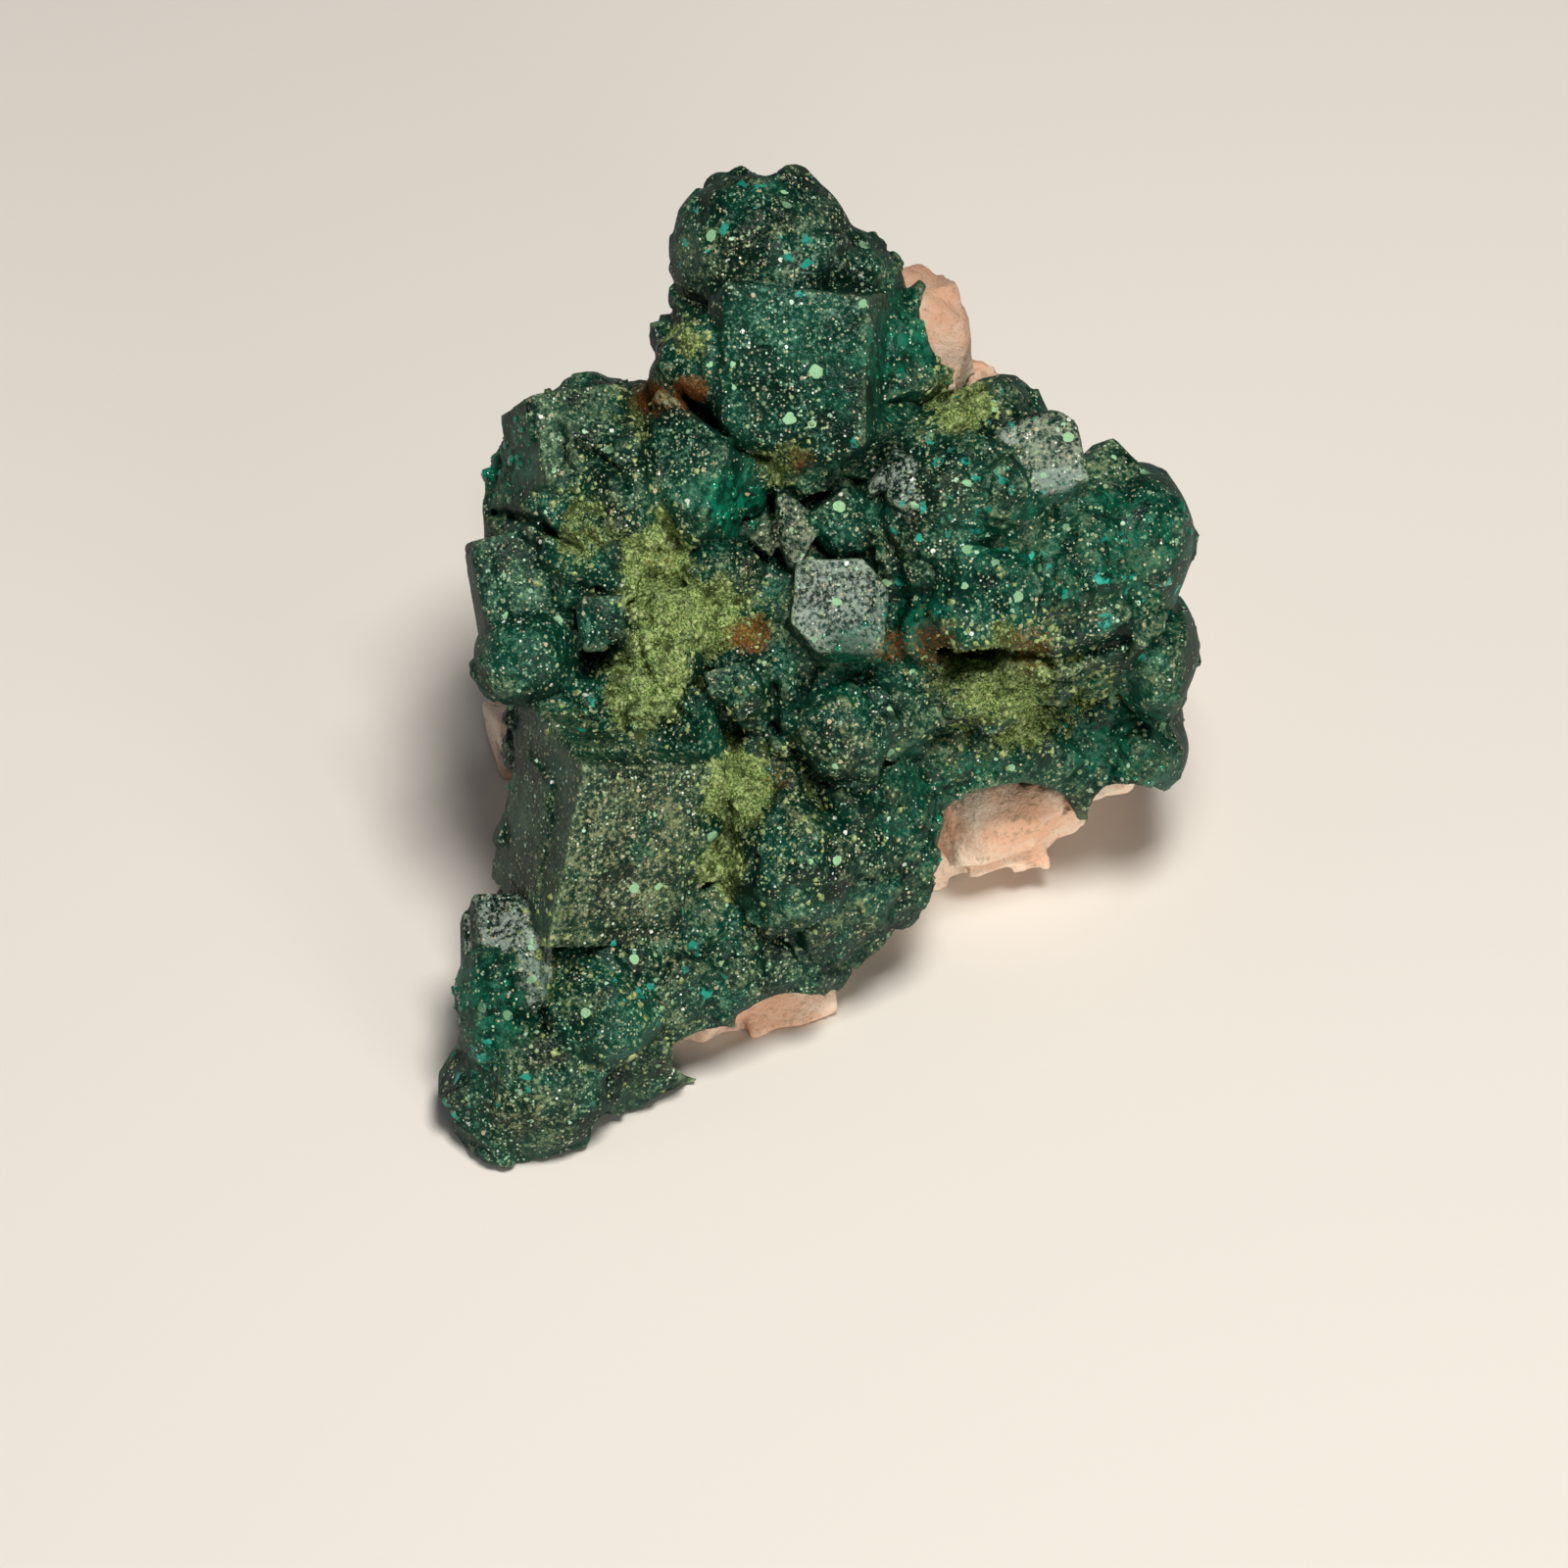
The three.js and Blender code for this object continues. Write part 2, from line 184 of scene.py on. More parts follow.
@dataclass(frozen=True)
class Rhomb:
    """A dioptase crystal with its end faces only, which is nearly a cube.

    Attributes:
        corner: its foremost corner, on the display face's axes, in millimetres.
        edges: the three edges that run back from there.
        steps: how many smaller parallel crystals stand out of its faces.
        tint: its own shade, from 0 to 1.
    """

    corner: Triple
    edges: tuple[Triple, Triple, Triple]
    steps: int = 4
    tint: float = 0.5

    def block(self) -> Block:
        """Works out the planes that bound the crystal.

        Returns:
            The crystal as a block.
        """
        edges = np.asarray(self.edges, dtype=float)
        middle = np.asarray(self.corner) + edges.sum(axis=0) / 2
        normals, reaches = [], []
        for k in range(3):
            normal = unit(np.cross(edges[k - 1], edges[k - 2]))
            reach = abs(normal.dot(edges[k])) / 2
            normals += [normal, -normal]
            reaches += [reach, reach]
        return Block(middle, np.array(normals), np.array(reaches), self.tint)


@dataclass(frozen=True)
class Patch:
    """A round patch of one zone on the display face: its middle, radius and weight."""

    zone: Zone
    at: Pair
    radius: float
    weight: float = 1.0


@dataclass(frozen=True)
class Sowing:
    """Small crystals strewn over the surface.

    Attributes:
        count: how many.
        smallest: the smallest one's width, in millimetres.
        largest: the largest one's width.
        proud: how far their faces stand out.
        lid: how far anything of them stands out at most.
        on_crystals: the share of them that also settles on the large crystals.
        seed: the seed of their places.
    """

    count: int
    smallest: float
    largest: float
    proud: float
    lid: float
    on_crystals: float
    seed: int


@dataclass(frozen=True)
class Groove:
    """A crack along a path on the display face: its half width and depth in millimetres."""

    path: tuple[Pair, ...]
    width: float
    depth: float


@dataclass(frozen=True)
class DisplayFace:
    """Turns the display face's axes (across, up, out) into the specimen's own frame."""

    looks_up_deg: float = 49.0
    height: float = 27.0
    foot_middle: Pair = (0.3, 7.0)

    @property
    def turn(self) -> np.ndarray:
        """The rotation from the face's axes to the specimen's, as a 3 by 3 matrix."""
        angle = math.radians(self.looks_up_deg)
        s, c = math.sin(angle), math.cos(angle)
        return np.array([[1, 0, 0], [0, s, -c], [0, c, s]])

    @property
    def origin(self) -> np.ndarray:
        """The middle of the display face in the specimen's frame, in millimetres."""
        return np.array([-self.foot_middle[0], -self.foot_middle[1], self.height])

    def place(self, points: Any) -> np.ndarray:
        """Points given on the face's axes, in the specimen's frame, in millimetres."""
        return np.asarray(points, dtype=float) @ self.turn.T + self.origin

    def direction(self, vectors: Any) -> np.ndarray:
        """Directions given on the face's axes, in the specimen's frame."""
        return np.asarray(vectors, dtype=float) @ self.turn.T

    def laid_flat(self, points: np.ndarray) -> np.ndarray:
        """Points of the specimen's frame, on the face's axes."""
        return (points - self.origin) @ self.turn


FACE = DisplayFace()


def upsampled(coarse: np.ndarray, shape: tuple[int, ...], ratio: float) -> np.ndarray:
    """Spreads a coarse field smoothly over finer cells.

    Args:
        coarse: the coarse field, with one more value before the first cell and some after.
        shape: how many fine cells there are each way.
        ratio: the fine cells' edge over the coarse ones'.

    Returns:
        The field on the fine cells.
    """
    result = coarse.astype(np.float32)
    for axis, cells in enumerate(shape):
        along = np.arange(cells) * ratio + 1
        base = along.astype(int)
        t = along - base
        weights = np.zeros((cells, coarse.shape[axis]), dtype=np.float32)
        taps = ((1 - t) ** 3, 3 * t**3 - 6 * t**2 + 4, -3 * t**3 + 3 * t**2 + 3 * t + 1, t**3)
        for offset, tap in enumerate(taps):
            weights[np.arange(cells), base - 1 + offset] = tap / 6
        result = np.moveaxis(np.tensordot(weights, result, axes=(1, axis)), 0, axis)
    return np.ascontiguousarray(result)


@dataclass
class Volume:
    """A box of cells that each hold the distance to the nearest surface, negative inside.

    Attributes:
        low: the box's lowest corner, in millimetres.
        high: the box's highest corner.
        cell: the cells' edge.
        far: the distance that is given to cells far from everything.
    """

    low: Triple
    high: Triple
    cell: float
    far: float = 3.0
    values: np.ndarray = field(init=False)
    tints: np.ndarray = field(init=False)
    claimed: np.ndarray = field(init=False)

    def __post_init__(self) -> None:
        """Fills the box with empty space."""
        span = np.asarray(self.high) - np.asarray(self.low)
        counts = tuple(int(n) + 1 for n in np.ceil(span / self.cell))
        self.values = np.full(counts, self.far, dtype=np.float32)
        self.tints = np.full(counts, 0.5, dtype=np.float32)
        self.claimed = np.zeros(counts, dtype=bool)

    def window(self, middle: Any, reach: Any) -> tuple[tuple[slice, ...], list[np.ndarray]]:
        """Picks the cells around a place.

        Args:
            middle: the place, in the specimen's frame.
            reach: how far the window reaches each way.

        Returns:
            The window's slices, and the x, y and z of its cells, shaped to be combined.
        """
        low = np.asarray(self.low)
        first = np.floor((np.asarray(middle) - reach - low) / self.cell).astype(int)
        last = np.ceil((np.asarray(middle) + reach - low) / self.cell).astype(int) + 1
        first = np.clip(first, 0, self.values.shape)
        last = np.clip(last, 0, self.values.shape)
        slices, axes = [], []
        for axis in range(3):
            slices.append(slice(first[axis], last[axis]))
            along = low[axis] + self.cell * np.arange(first[axis], last[axis])
            shape = [1, 1, 1]
            shape[axis] = -1
            axes.append(along.astype(np.float32).reshape(shape))
        return tuple(slices), axes

    def join(self, where: tuple[slice, ...], distance: np.ndarray, blend: float) -> np.ndarray:
        """Adds a form to the solid, with a fillet of the size of blend.

        Args:
            where: the window that the form is in.
            distance: the distance to the form, for each of the window's cells.
            blend: the size of the fillet.

        Returns:
            Which of the window's cells the form is nearest to.
        """
        old = self.values[where]
        nearest = distance < old
        share = np.clip(0.5 + 0.5 * (old - distance) / max(blend, 1e-4), 0, 1)
        self.values[where] = old + (distance - old) * share - blend * share * (1 - share)
        return nearest

    def ellipsoid(self, lump: Lump) -> tuple[tuple[slice, ...], np.ndarray]:
        """Works out the distance to a rounded form.

        Args:
            lump: the form.

        Returns:
            The window around it, and the distance for each of the window's cells.
        """
        middle = FACE.place(lump.at)
        radii = np.asarray(lump.radii)
        where, axes = self.window(middle, float(radii.max()) + 1.5)
        inner = outer = 0.0
        for axis in range(3):
            along = sum(FACE.turn[k, axis] * (axes[k] - middle[k]) for k in range(3))
            outer = outer + (along / radii[axis]) ** 2
            inner = inner + (along / radii[axis] ** 2) ** 2
        outer = np.sqrt(outer)
        return where, (outer * (outer - 1) / np.maximum(np.sqrt(inner), 1e-4)).astype(np.float32)

    def add_lump(self, lump: Lump, blend: float) -> None:
        """Adds a rounded form."""
        self.join(*self.ellipsoid(lump), blend)

    def clear_lump(self, lump: Lump) -> None:
        """Takes a rounded form away."""
        where, distance = self.ellipsoid(lump)
        self.values[where] = np.maximum(self.values[where], -distance)

    def block_distance(self, block: Block, axes: list[np.ndarray]) -> np.ndarray:
        """Works out the distance to a block, as that to the plane that lies farthest out.

        Args:
            block: the block.
            axes: the x, y and z of a window's cells.

        Returns:
            The distance for each of the window's cells.
        """
        middle = FACE.place(block.middle)
        distance: Any = -np.inf
        for normal, reach in zip(FACE.direction(block.normals).astype(np.float32), block.reaches):
            flat = normal[0] * (axes[0] - middle[0]) + normal[1] * (axes[1] - middle[1])
            flat = flat + (normal[2] * (axes[2] - middle[2]) - np.float32(reach))
            distance = np.maximum(distance, flat)
        return distance.astype(np.float32)

    def add_block(
        self, block: Block, blend: float, lid: np.ndarray | None = None, claim: bool = False
    ) -> None:
        """Adds a block.

        Args:
            block: the block.
            blend: the size of the fillet around it.
            lid: a field that it may not stand out of.
            claim: whether smaller crystals keep off it.
        """
        reach = float(block.reaches.max()) * 1.35 + 0.4
        where, axes = self.window(FACE.place(block.middle), reach)
        if not self.values[where].size:
            return
        distance = self.block_distance(block, axes)
        if lid is not None:
            distance = np.maximum(distance, lid[where])
        nearest = self.join(where, distance, blend)
        self.tints[where][nearest] = block.tint
        self.claimed[where][nearest] = claim

    def take_block(self, block: Block) -> None:
        """Takes a block away.

        Args:
            block: the block.
        """
        where, axes = self.window(FACE.place(block.middle), float(block.reaches.max()) * 1.8)
        if self.values[where].size:
            distance = self.block_distance(block, axes)
            self.values[where] = np.maximum(self.values[where], -distance)

    def cut(self, normal: Any, reach: float) -> None:
        """Cuts away what lies beyond a plane.

        Args:
            normal: the way the plane looks, in the specimen's frame.
            reach: how far it lies from the frame's origin, in millimetres.
        """
        axes = self.window(np.zeros(3), 1e3)[1]
        flat = sum(np.float32(normal[k]) * axes[k] for k in range(3)) - np.float32(reach)
        np.maximum(self.values, flat, out=self.values)

    def noise(self, size: float, seed: int) -> np.ndarray:
        """A smooth random field over the whole box, with bumps of the given size.

        Args:
            size: the distance between the random values, in millimetres.
            seed: the seed of the random values.

        Returns:
            One value for each cell, about -1 to 1.
        """
        counts = [int(n * self.cell / size) + 5 for n in self.values.shape]
        coarse = np.random.default_rng(seed).uniform(-2.4, 2.4, counts)
        return upsampled(coarse, self.values.shape, self.cell / size)

    def spread_from(self, other: "Volume") -> np.ndarray:
        """Another volume's distances on this one's cells."""
        padded = np.pad(other.values, (1, 4), mode="edge")
        return upsampled(padded, self.values.shape, self.cell / other.cell)

    def sample(self, grid: np.ndarray, points: np.ndarray) -> np.ndarray:
        """Reads a field of the box at points, between its cells.

        Args:
            grid: the field.
            points: the points, in millimetres.

        Returns:
            The field's value at each point.
        """
        at = (points - np.asarray(self.low)) / self.cell
        at = np.clip(at, 0, np.array(self.values.shape) - 1.001)
        base = at.astype(int)
        t = at - base
        total = np.zeros(len(points))
        for corner in range(8):
            step = np.array([corner & 1, corner >> 1 & 1, corner >> 2 & 1])
            weight = np.prod(np.where(step, t, 1 - t), axis=1)
            total += weight * grid[tuple((base + step).T)]
        return total

    def surface(self) -> tuple[np.ndarray, np.ndarray]:
        """Meshes the solid's surface.

        Returns:
            Its points in millimetres, and its quads.
        """
        grid = openvdb.FloatGrid(self.far)
        grid.copyFromArray(self.values)
        points, quads = grid.convertToQuads(0.0)
        return points * self.cell + np.asarray(self.low), quads


def blurred(grid: np.ndarray, cells: int, passes: int = 2) -> np.ndarray:
    """Averages a field over a box of cells.

    Args:
        grid: the field.
        cells: how far the box reaches from its middle cell.
        passes: how many times over.

    Returns:
        The averaged field.
    """
    result = grid
    for _ in range(passes):
        for axis in range(3):
            pad = [(0, 0)] * 3
            pad[axis] = (cells + 1, cells)
            total = np.cumsum(np.pad(result, pad, mode="edge"), axis=axis, dtype=np.float32)
            width = 2 * cells + 1
            ahead = [slice(None)] * 3
            behind = [slice(None)] * 3
            ahead[axis] = slice(width, None)
            behind[axis] = slice(None, -width)
            result = (total[tuple(ahead)] - total[tuple(behind)]) / width
    return result


def quad_normals(points: np.ndarray, quads: np.ndarray) -> np.ndarray:
    """Works out which way the quads look.

    Args:
        points: the surface's points.
        quads: its faces.

    Returns:
        The outward normal of each quad, at length one.
    """
    across = points[quads[:, 2]] - points[quads[:, 0]]
    along = points[quads[:, 3]] - points[quads[:, 1]]
    normals = np.cross(across, along)
    return normals / np.maximum(np.linalg.norm(normals, axis=1, keepdims=True), 1e-9)


def path_distance(flat: np.ndarray, path: tuple[Pair, ...]) -> np.ndarray:
    """How far points of the display face lie from a path on it.

    Args:
        flat: the points, across and up the face, in the last axis.
        path: the corners of the path.

    Returns:
        The distance of each point.
    """
    nearest = np.full(flat.shape[:-1], np.inf)
    for start, end in zip(path, path[1:]):
        start, along = np.asarray(start), np.asarray(end) - np.asarray(start)
        share = np.clip(((flat - start) @ along) / along.dot(along), 0, 1)
        away = flat - start - share[..., None] * along
        nearest = np.minimum(nearest, np.hypot(away[..., 0], away[..., 1]))
    return nearest


def linear(hex_colour: int) -> tuple[float, float, float, float]:
    """Turns an sRGB hex colour into the linear one that the shaders take.

    Args:
        hex_colour: the colour.

    Returns:
        Its red, green, blue and alpha.
    """
    parts = [(hex_colour >> shift & 0xFF) / 255 for shift in (16, 8, 0)]
    parts = [c / 12.92 if c <= 0.04045 else ((c + 0.055) / 1.055) ** 2.4 for c in parts]
    return (*parts, 1.0)


@dataclass(frozen=True)
class Nodes:
    """A node tree being laid out."""

    tree: bpy.types.NodeTree

    def add(self, kind: str, inputs: dict[Any, Any] | None = None, output: Any = 0, **settings: Any) -> Any:
        """Adds a node.

        Args:
            kind: the node's type.
            inputs: for each input, the socket that feeds it or its own value.
            output: the output to hand back.
            settings: the node's properties.

        Returns:
            That output's socket, or None where the node has none.
        """
        node = self.tree.nodes.new(kind)
        for name, value in settings.items():
            setattr(node, name, value)
        for name, value in (inputs or {}).items():
            if isinstance(value, bpy.types.NodeSocket):
                self.tree.links.new(value, node.inputs[name])
            else:
                node.inputs[name].default_value = value
        return node.outputs[output] if node.outputs else None

    def coated(self, ground: Any, *coats: tuple[Any, Any]) -> Any:
        """Lays coats of colour over a ground, one after the other.

        Args:
            ground: the colour below, a socket or an sRGB hex colour.
            coats: for each coat, its share and its colour, a socket or an sRGB hex colour.

        Returns:
            The socket of the colour on top.
        """
        for share, tone in coats:
            over, under = (linear(c) if isinstance(c, int) else c for c in (tone, ground))
            ground = self.add("ShaderNodeMix", {0: share, 6: under, 7: over}, 2, data_type="RGBA")
        return ground

    def summed(self, start: Any, *parts: tuple[Any, Any]) -> Any:
        """Adds values up, each taken so many times.

        Args:
            start: what is added to.
            parts: for each part, its value and how many times it is taken.

        Returns:
            The socket of the sum.
        """
        for value, times in parts:
            start = self.add(
                "ShaderNodeMath", {0: value, 1: times, 2: start}, operation="MULTIPLY_ADD"
            )
        return start


def per_size(size_mm: float) -> float:
    """The texture scale whose pattern repeats at a size, on coordinates in metres."""
    return 1 / (size_mm * MM)


def new_material(name: str) -> tuple[bpy.types.Material, Nodes]:
    """Makes a material with nothing in its tree.

    Args:
        name: the material's name.

    Returns:
        The material, and its tree to lay nodes in.
    """
    material = bpy.data.materials.new(name)
    material.use_nodes = True
    material.node_tree.nodes.clear()
    return material, Nodes(material.node_tree)


@dataclass(frozen=True)
class DioptaseFinish:
    """Dioptase, grown in a cavity and weathered.

    The faces are glassy and so dark a green that they look black, under a thin film of pale dust
    in specks. Yellow-green powder and rust fill the hollows.

    Attributes:
        deep, green, clean: the crystals themselves, from the darkest to the liveliest.
        veil, veil_brown, pale_veil_and_highlight: the fine dust on most crystals, on some and on a few;
        pale_veil_and_highlight is also a painted highlight on the crystals that glint.
        specks: the coarser specks in the dust; the last, nearly white colour is a painted glint.
        spot: round growths of pale green.
        painted_hollow_shade: a near-black painted shade, laid over the most sunken hollows.
        ior: how strongly the clear faces mirror.
        gloss: how much of that shine the weathered faces have left, 0.5 being all of it.
    """

    name: str = "dioptase_grown_with_dust_film"
    deep: int = 0x041C14
    green: int = 0x094031
    clean: int = 0x0A7056
    veil: int = 0x48806A
    veil_brown: int = 0x7C825C
    pale_veil_and_highlight: int = 0x92A29A
    # the last speck colour, nearly white, is a painted glint
    specks: tuple[int, int, int, int] = (0x96B088, 0xC2B898, 0xB0DCC0, 0xF4FCF6)
    spot: int = 0x8FBF95
    powder: int = 0x3A562A
    powder_light: int = 0xA8BE76
    powder_dark: int = 0x2E3A1C
    rust: int = 0x4E2A12
    rust_light: int = 0x8A5420
    turquoise: int = 0x0E7464
    turquoise_light: int = 0x2FA898
    painted_hollow_shade: int = 0x040A07
    ior: float = 1.55
    gloss: float = 0.11

    def material(self) -> bpy.types.Material:
        """Builds the material.

        Returns:
            The material, which reads the zones and places kept on the mesh.
        """
        material, n = new_material(self.name)
        where = n.add("ShaderNodeTexCoord", output="Object")
        weight = {
            key: n.add("ShaderNodeAttribute", output="Fac", attribute_name=key.value)
            for key in (*Zone, *Place)
        }
        # the dust's own grain is under 0.1 mm: 0.13 mm is as fine as a picture shows
        broad, middling, grain, fine = (
            n.add(
                "ShaderNodeTexNoise",
                {"Vector": where, "Scale": per_size(size), "Detail": detail, "Roughness": 0.7},
            )
            for size, detail in ((3.5, 3.0), (0.95, 4.0), (0.28, 2.5), (0.13, 2.0))
        )

        tint, hollow = weight[Place.TINT], weight[Place.HOLLOW]
        shade, lively, pale, brown, clumps, patchy, light, dark, hollow_shade_share = (
            n.add(
                "ShaderNodeMapRange",
                {"Value": value, "From Min": low, "From Max": high, "To Max": top},
            )
            for value, low, high, top in (
                (broad, 0.4, 0.68, 1.0),
                (middling, 0.45, 0.64, 1.0),
                (tint, 0.87, 0.95, 1.0),
                (tint, 0.3, 0.9, 1.0),
                (grain, 0.35, 0.65, 1.0),
                (middling, 0.45, 0.56, 1.0),
                (fine, 0.42, 0.66, 1.0),
                (middling, 0.5, 0.6, 0.9),
                # the share of painted shade, from how sunken a hollow is
                (hollow, 0.5, 1.0, 0.7),
            )
        )

        # the body of the crystals, a deeper or a livelier green
        lively = n.add("ShaderNodeMath", {0: lively, 1: weight[Zone.CLEAN]}, operation="MULTIPLY")
        colour = n.coated(self.deep, (shade, self.green), (lively, self.clean))

        # a veil of dust on what looks out, more on some crystals than on others
        dusty = n.add(
            "ShaderNodeMath", {0: 1.0, 1: weight[Zone.CLEAN]}, operation="SUBTRACT", use_clamp=True
        )
        dusty = n.add("ShaderNodeMath", {0: dusty, 1: weight[Place.FILM]}, operation="MULTIPLY")
        # the crystals tinted about 1 and the pale patches get a thicker, paler veil: partly pale dust, partly
        # a painted highlight where those crystals glint
        pale = n.add("ShaderNodeMath", {0: pale, 1: weight[Zone.PALE]}, operation="MAXIMUM")
        # the noises are about a half each, and the first number brings their sum to nought
        veil = n.summed(
            -1.49, (grain, 1.3), (fine, 0.5), (middling, 0.6), (broad, 0.6), (tint, 0.14), (pale, 0.07)
        )
        veil = n.add(
            "ShaderNodeMapRange",
            {"Value": veil, "From Min": 0.03, "From Max": 0.37, "To Max": 0.88},
            interpolation_type="SMOOTHSTEP",
        )
        veil = n.add("ShaderNodeMath", {0: veil, 1: dusty}, operation="MULTIPLY")
        tone = n.coated(self.veil, (brown, self.veil_brown), (pale, self.pale_veil_and_highlight))
        colour = n.coated(colour, (veil, tone))

        # coarser specks in the dust, two sizes of them, each of a colour of its own
        specks: Any = 0.0
        for size, thick, thin in ((0.17, 0.34, 0.08), (0.32, 0.15, 0.03)):
            cell = n.add("ShaderNodeTexVoronoi", {"Vector": where, "Scale": per_size(size)}, "Color")
            channels = n.add("ShaderNodeSeparateColor", {"Color": cell}, "Red").node.outputs
            density = n.add("ShaderNodeMapRange", {"Value": dusty, "To Min": thin, "To Max": thick})
            density = n.add("ShaderNodeMath", {0: density, 1: clumps}, operation="MULTIPLY")
            kept = n.add("ShaderNodeMath", {0: channels["Red"], 1: density}, operation="LESS_THAN")
            distance = cell.node.outputs["Distance"]
            dot = n.add("ShaderNodeMath", {0: distance, 1: 0.46}, operation="LESS_THAN")
            kept = n.add("ShaderNodeMath", {0: kept, 1: dot}, operation="MULTIPLY")
            strength = n.add("ShaderNodeMapRange", {"Value": channels["Blue"], "To Min": 0.4})
            kept = n.add("ShaderNodeMath", {0: kept, 1: strength}, operation="MULTIPLY")
            # half are of the first colour, a quarter of the second, and few are nearly white: those nearly
            # white ones are painted glints
            chosen = (
                n.add("ShaderNodeMath", {0: channels["Green"], 1: above}, operation="GREATER_THAN")
                for above in (0.5, 0.76, 0.92)
            )
            tone = n.coated(self.specks[0], *zip(chosen, self.specks[1:]))
            colour = n.coated(colour, (kept, tone))
            specks = n.add("ShaderNodeMath", {0: kept, 1: specks}, operation="MAXIMUM")

        # a few round spots of pale green, and turquoise flecks
        wander = n.add("ShaderNodeTexNoise", {"Vector": where, "Scale": per_size(0.5)}, "Color")
        bent = n.add("ShaderNodeVectorMath", {0: wander, "Scale": 0.35 * MM}, operation="SCALE")
        bent = n.add("ShaderNodeVectorMath", {0: where, 1: bent}, operation="ADD")
        cell = n.add("ShaderNodeTexVoronoi", {"Vector": bent, "Scale": per_size(1.5)}, "Color")
        red = n.add("ShaderNodeSeparateColor", {"Color": cell}, "Red")
        radius = n.add("ShaderNodeMapRange", {"Value": red, "From Min": 0.55, "To Max": 0.27})
        distance = cell.node.outputs["Distance"]
        spots = n.add("ShaderNodeMath", {0: distance, 1: radius}, operation="LESS_THAN")
        spots = n.add("ShaderNodeMath", {0: spots, 1: dusty}, operation="MULTIPLY")
        cell = n.add("ShaderNodeTexVoronoi", {"Vector": bent, "Scale": per_size(0.55)}, "Color")
        channels = n.add("ShaderNodeSeparateColor", {"Color": cell}, "Red").node.outputs
        density = n.add("ShaderNodeMath", {0: weight[Zone.TURQUOISE], 1: 0.12}, operation="MULTIPLY")
        flecks = n.add("ShaderNodeMath", {0: channels["Red"], 1: density}, operation="LESS_THAN")
        flecks = n.add("ShaderNodeMath", {0: flecks, 1: patchy}, operation="MULTIPLY")
        tone = n.coated(self.turquoise, (channels["Green"], self.turquoise_light))
        colour = n.coated(colour, (spots, self.spot), (flecks, tone))

        # powder, thicker in the hollows, with bare gaps between its clumps
        zone = weight[Zone.POWDER]
        settled = n.summed(zone, (hollow, 0.8))
        settled = n.summed(grain, (settled, zone), (middling, 1.6))
        powder = n.add(
            "ShaderNodeMapRange",
            {"Value": settled, "From Min": 1.72, "From Max": 2.05},
            interpolation_type="SMOOTHSTEP",
        )
        there = n.add("ShaderNodeMapRange", {"Value": zone, "From Max": 0.15})
        powder = n.add("ShaderNodeMath", {0: powder, 1: there}, operation="MULTIPLY")
        tone = n.coated(self.powder, (light, self.powder_light), (dark, self.powder_dark))
        colour = n.coated(colour, (powder, tone))

        # rust, in soft-edged stains
        zone = weight[Zone.RUST]
        rust = n.summed(zone, (grain, 1.6))
        rust = n.add(
            "ShaderNodeMapRange",
            {"Value": rust, "From Min": 1.3, "From Max": 1.85, "To Max": 0.85},
            interpolation_type="SMOOTHSTEP",
        )
        there = n.add("ShaderNodeMapRange", {"Value": zone, "From Max": 0.3})
        rust = n.add("ShaderNodeMath", {0: rust, 1: there}, operation="MULTIPLY")
        tone = n.coated(self.rust, (light, self.rust_light))

        # sharp outer edges are made lighter in the first speck colour, and near-black painted shade darkens
        # the most sunken hollows
        lighter_edges = n.add("ShaderNodeMath", {0: weight[Place.EDGE], 1: clumps}, operation="MULTIPLY")
        lighter_edges = n.add("ShaderNodeMath", {0: lighter_edges, 1: 0.9}, operation="MULTIPLY", use_clamp=True)
        colour = n.coated(colour, (rust, tone), (lighter_edges, self.specks[0]), (hollow_shade_share, self.painted_hollow_shade))

        # bare crystal is glassy, and everything on it is matte, as are the weathered sides
        matte = n.add("ShaderNodeMath", {0: powder, 1: rust}, operation="MAXIMUM")
        matte = n.add("ShaderNodeMath", {0: matte, 1: specks}, operation="MAXIMUM")
        matte = n.summed(matte, (veil, 0.6))
        sides = n.add("ShaderNodeMapRange", {"Value": weight[Place.FILM], "To Min": 0.5, "To Max": 0.0})
        matte = n.add("ShaderNodeMath", {0: matte, 1: sides}, operation="MAXIMUM")
        rough = n.add("ShaderNodeMapRange", {"Value": matte, "To Min": 0.1, "To Max": 0.9})
        relief = n.summed(middling, (grain, 0.55), (fine, 0.3), (matte, 0.35))
        bump = n.add("ShaderNodeBump", {"Height": relief, "Strength": 0.6, "Distance": 0.2 * MM})
        shader = n.add(
            "ShaderNodeBsdfPrincipled",
            {
                "Base Color": colour,
                "Roughness": rough,
                "IOR": self.ior,
                "Specular IOR Level": self.gloss,
                "Normal": bump,
            },
        )
        n.add("ShaderNodeOutputMaterial", {"Surface": shader})
        return material


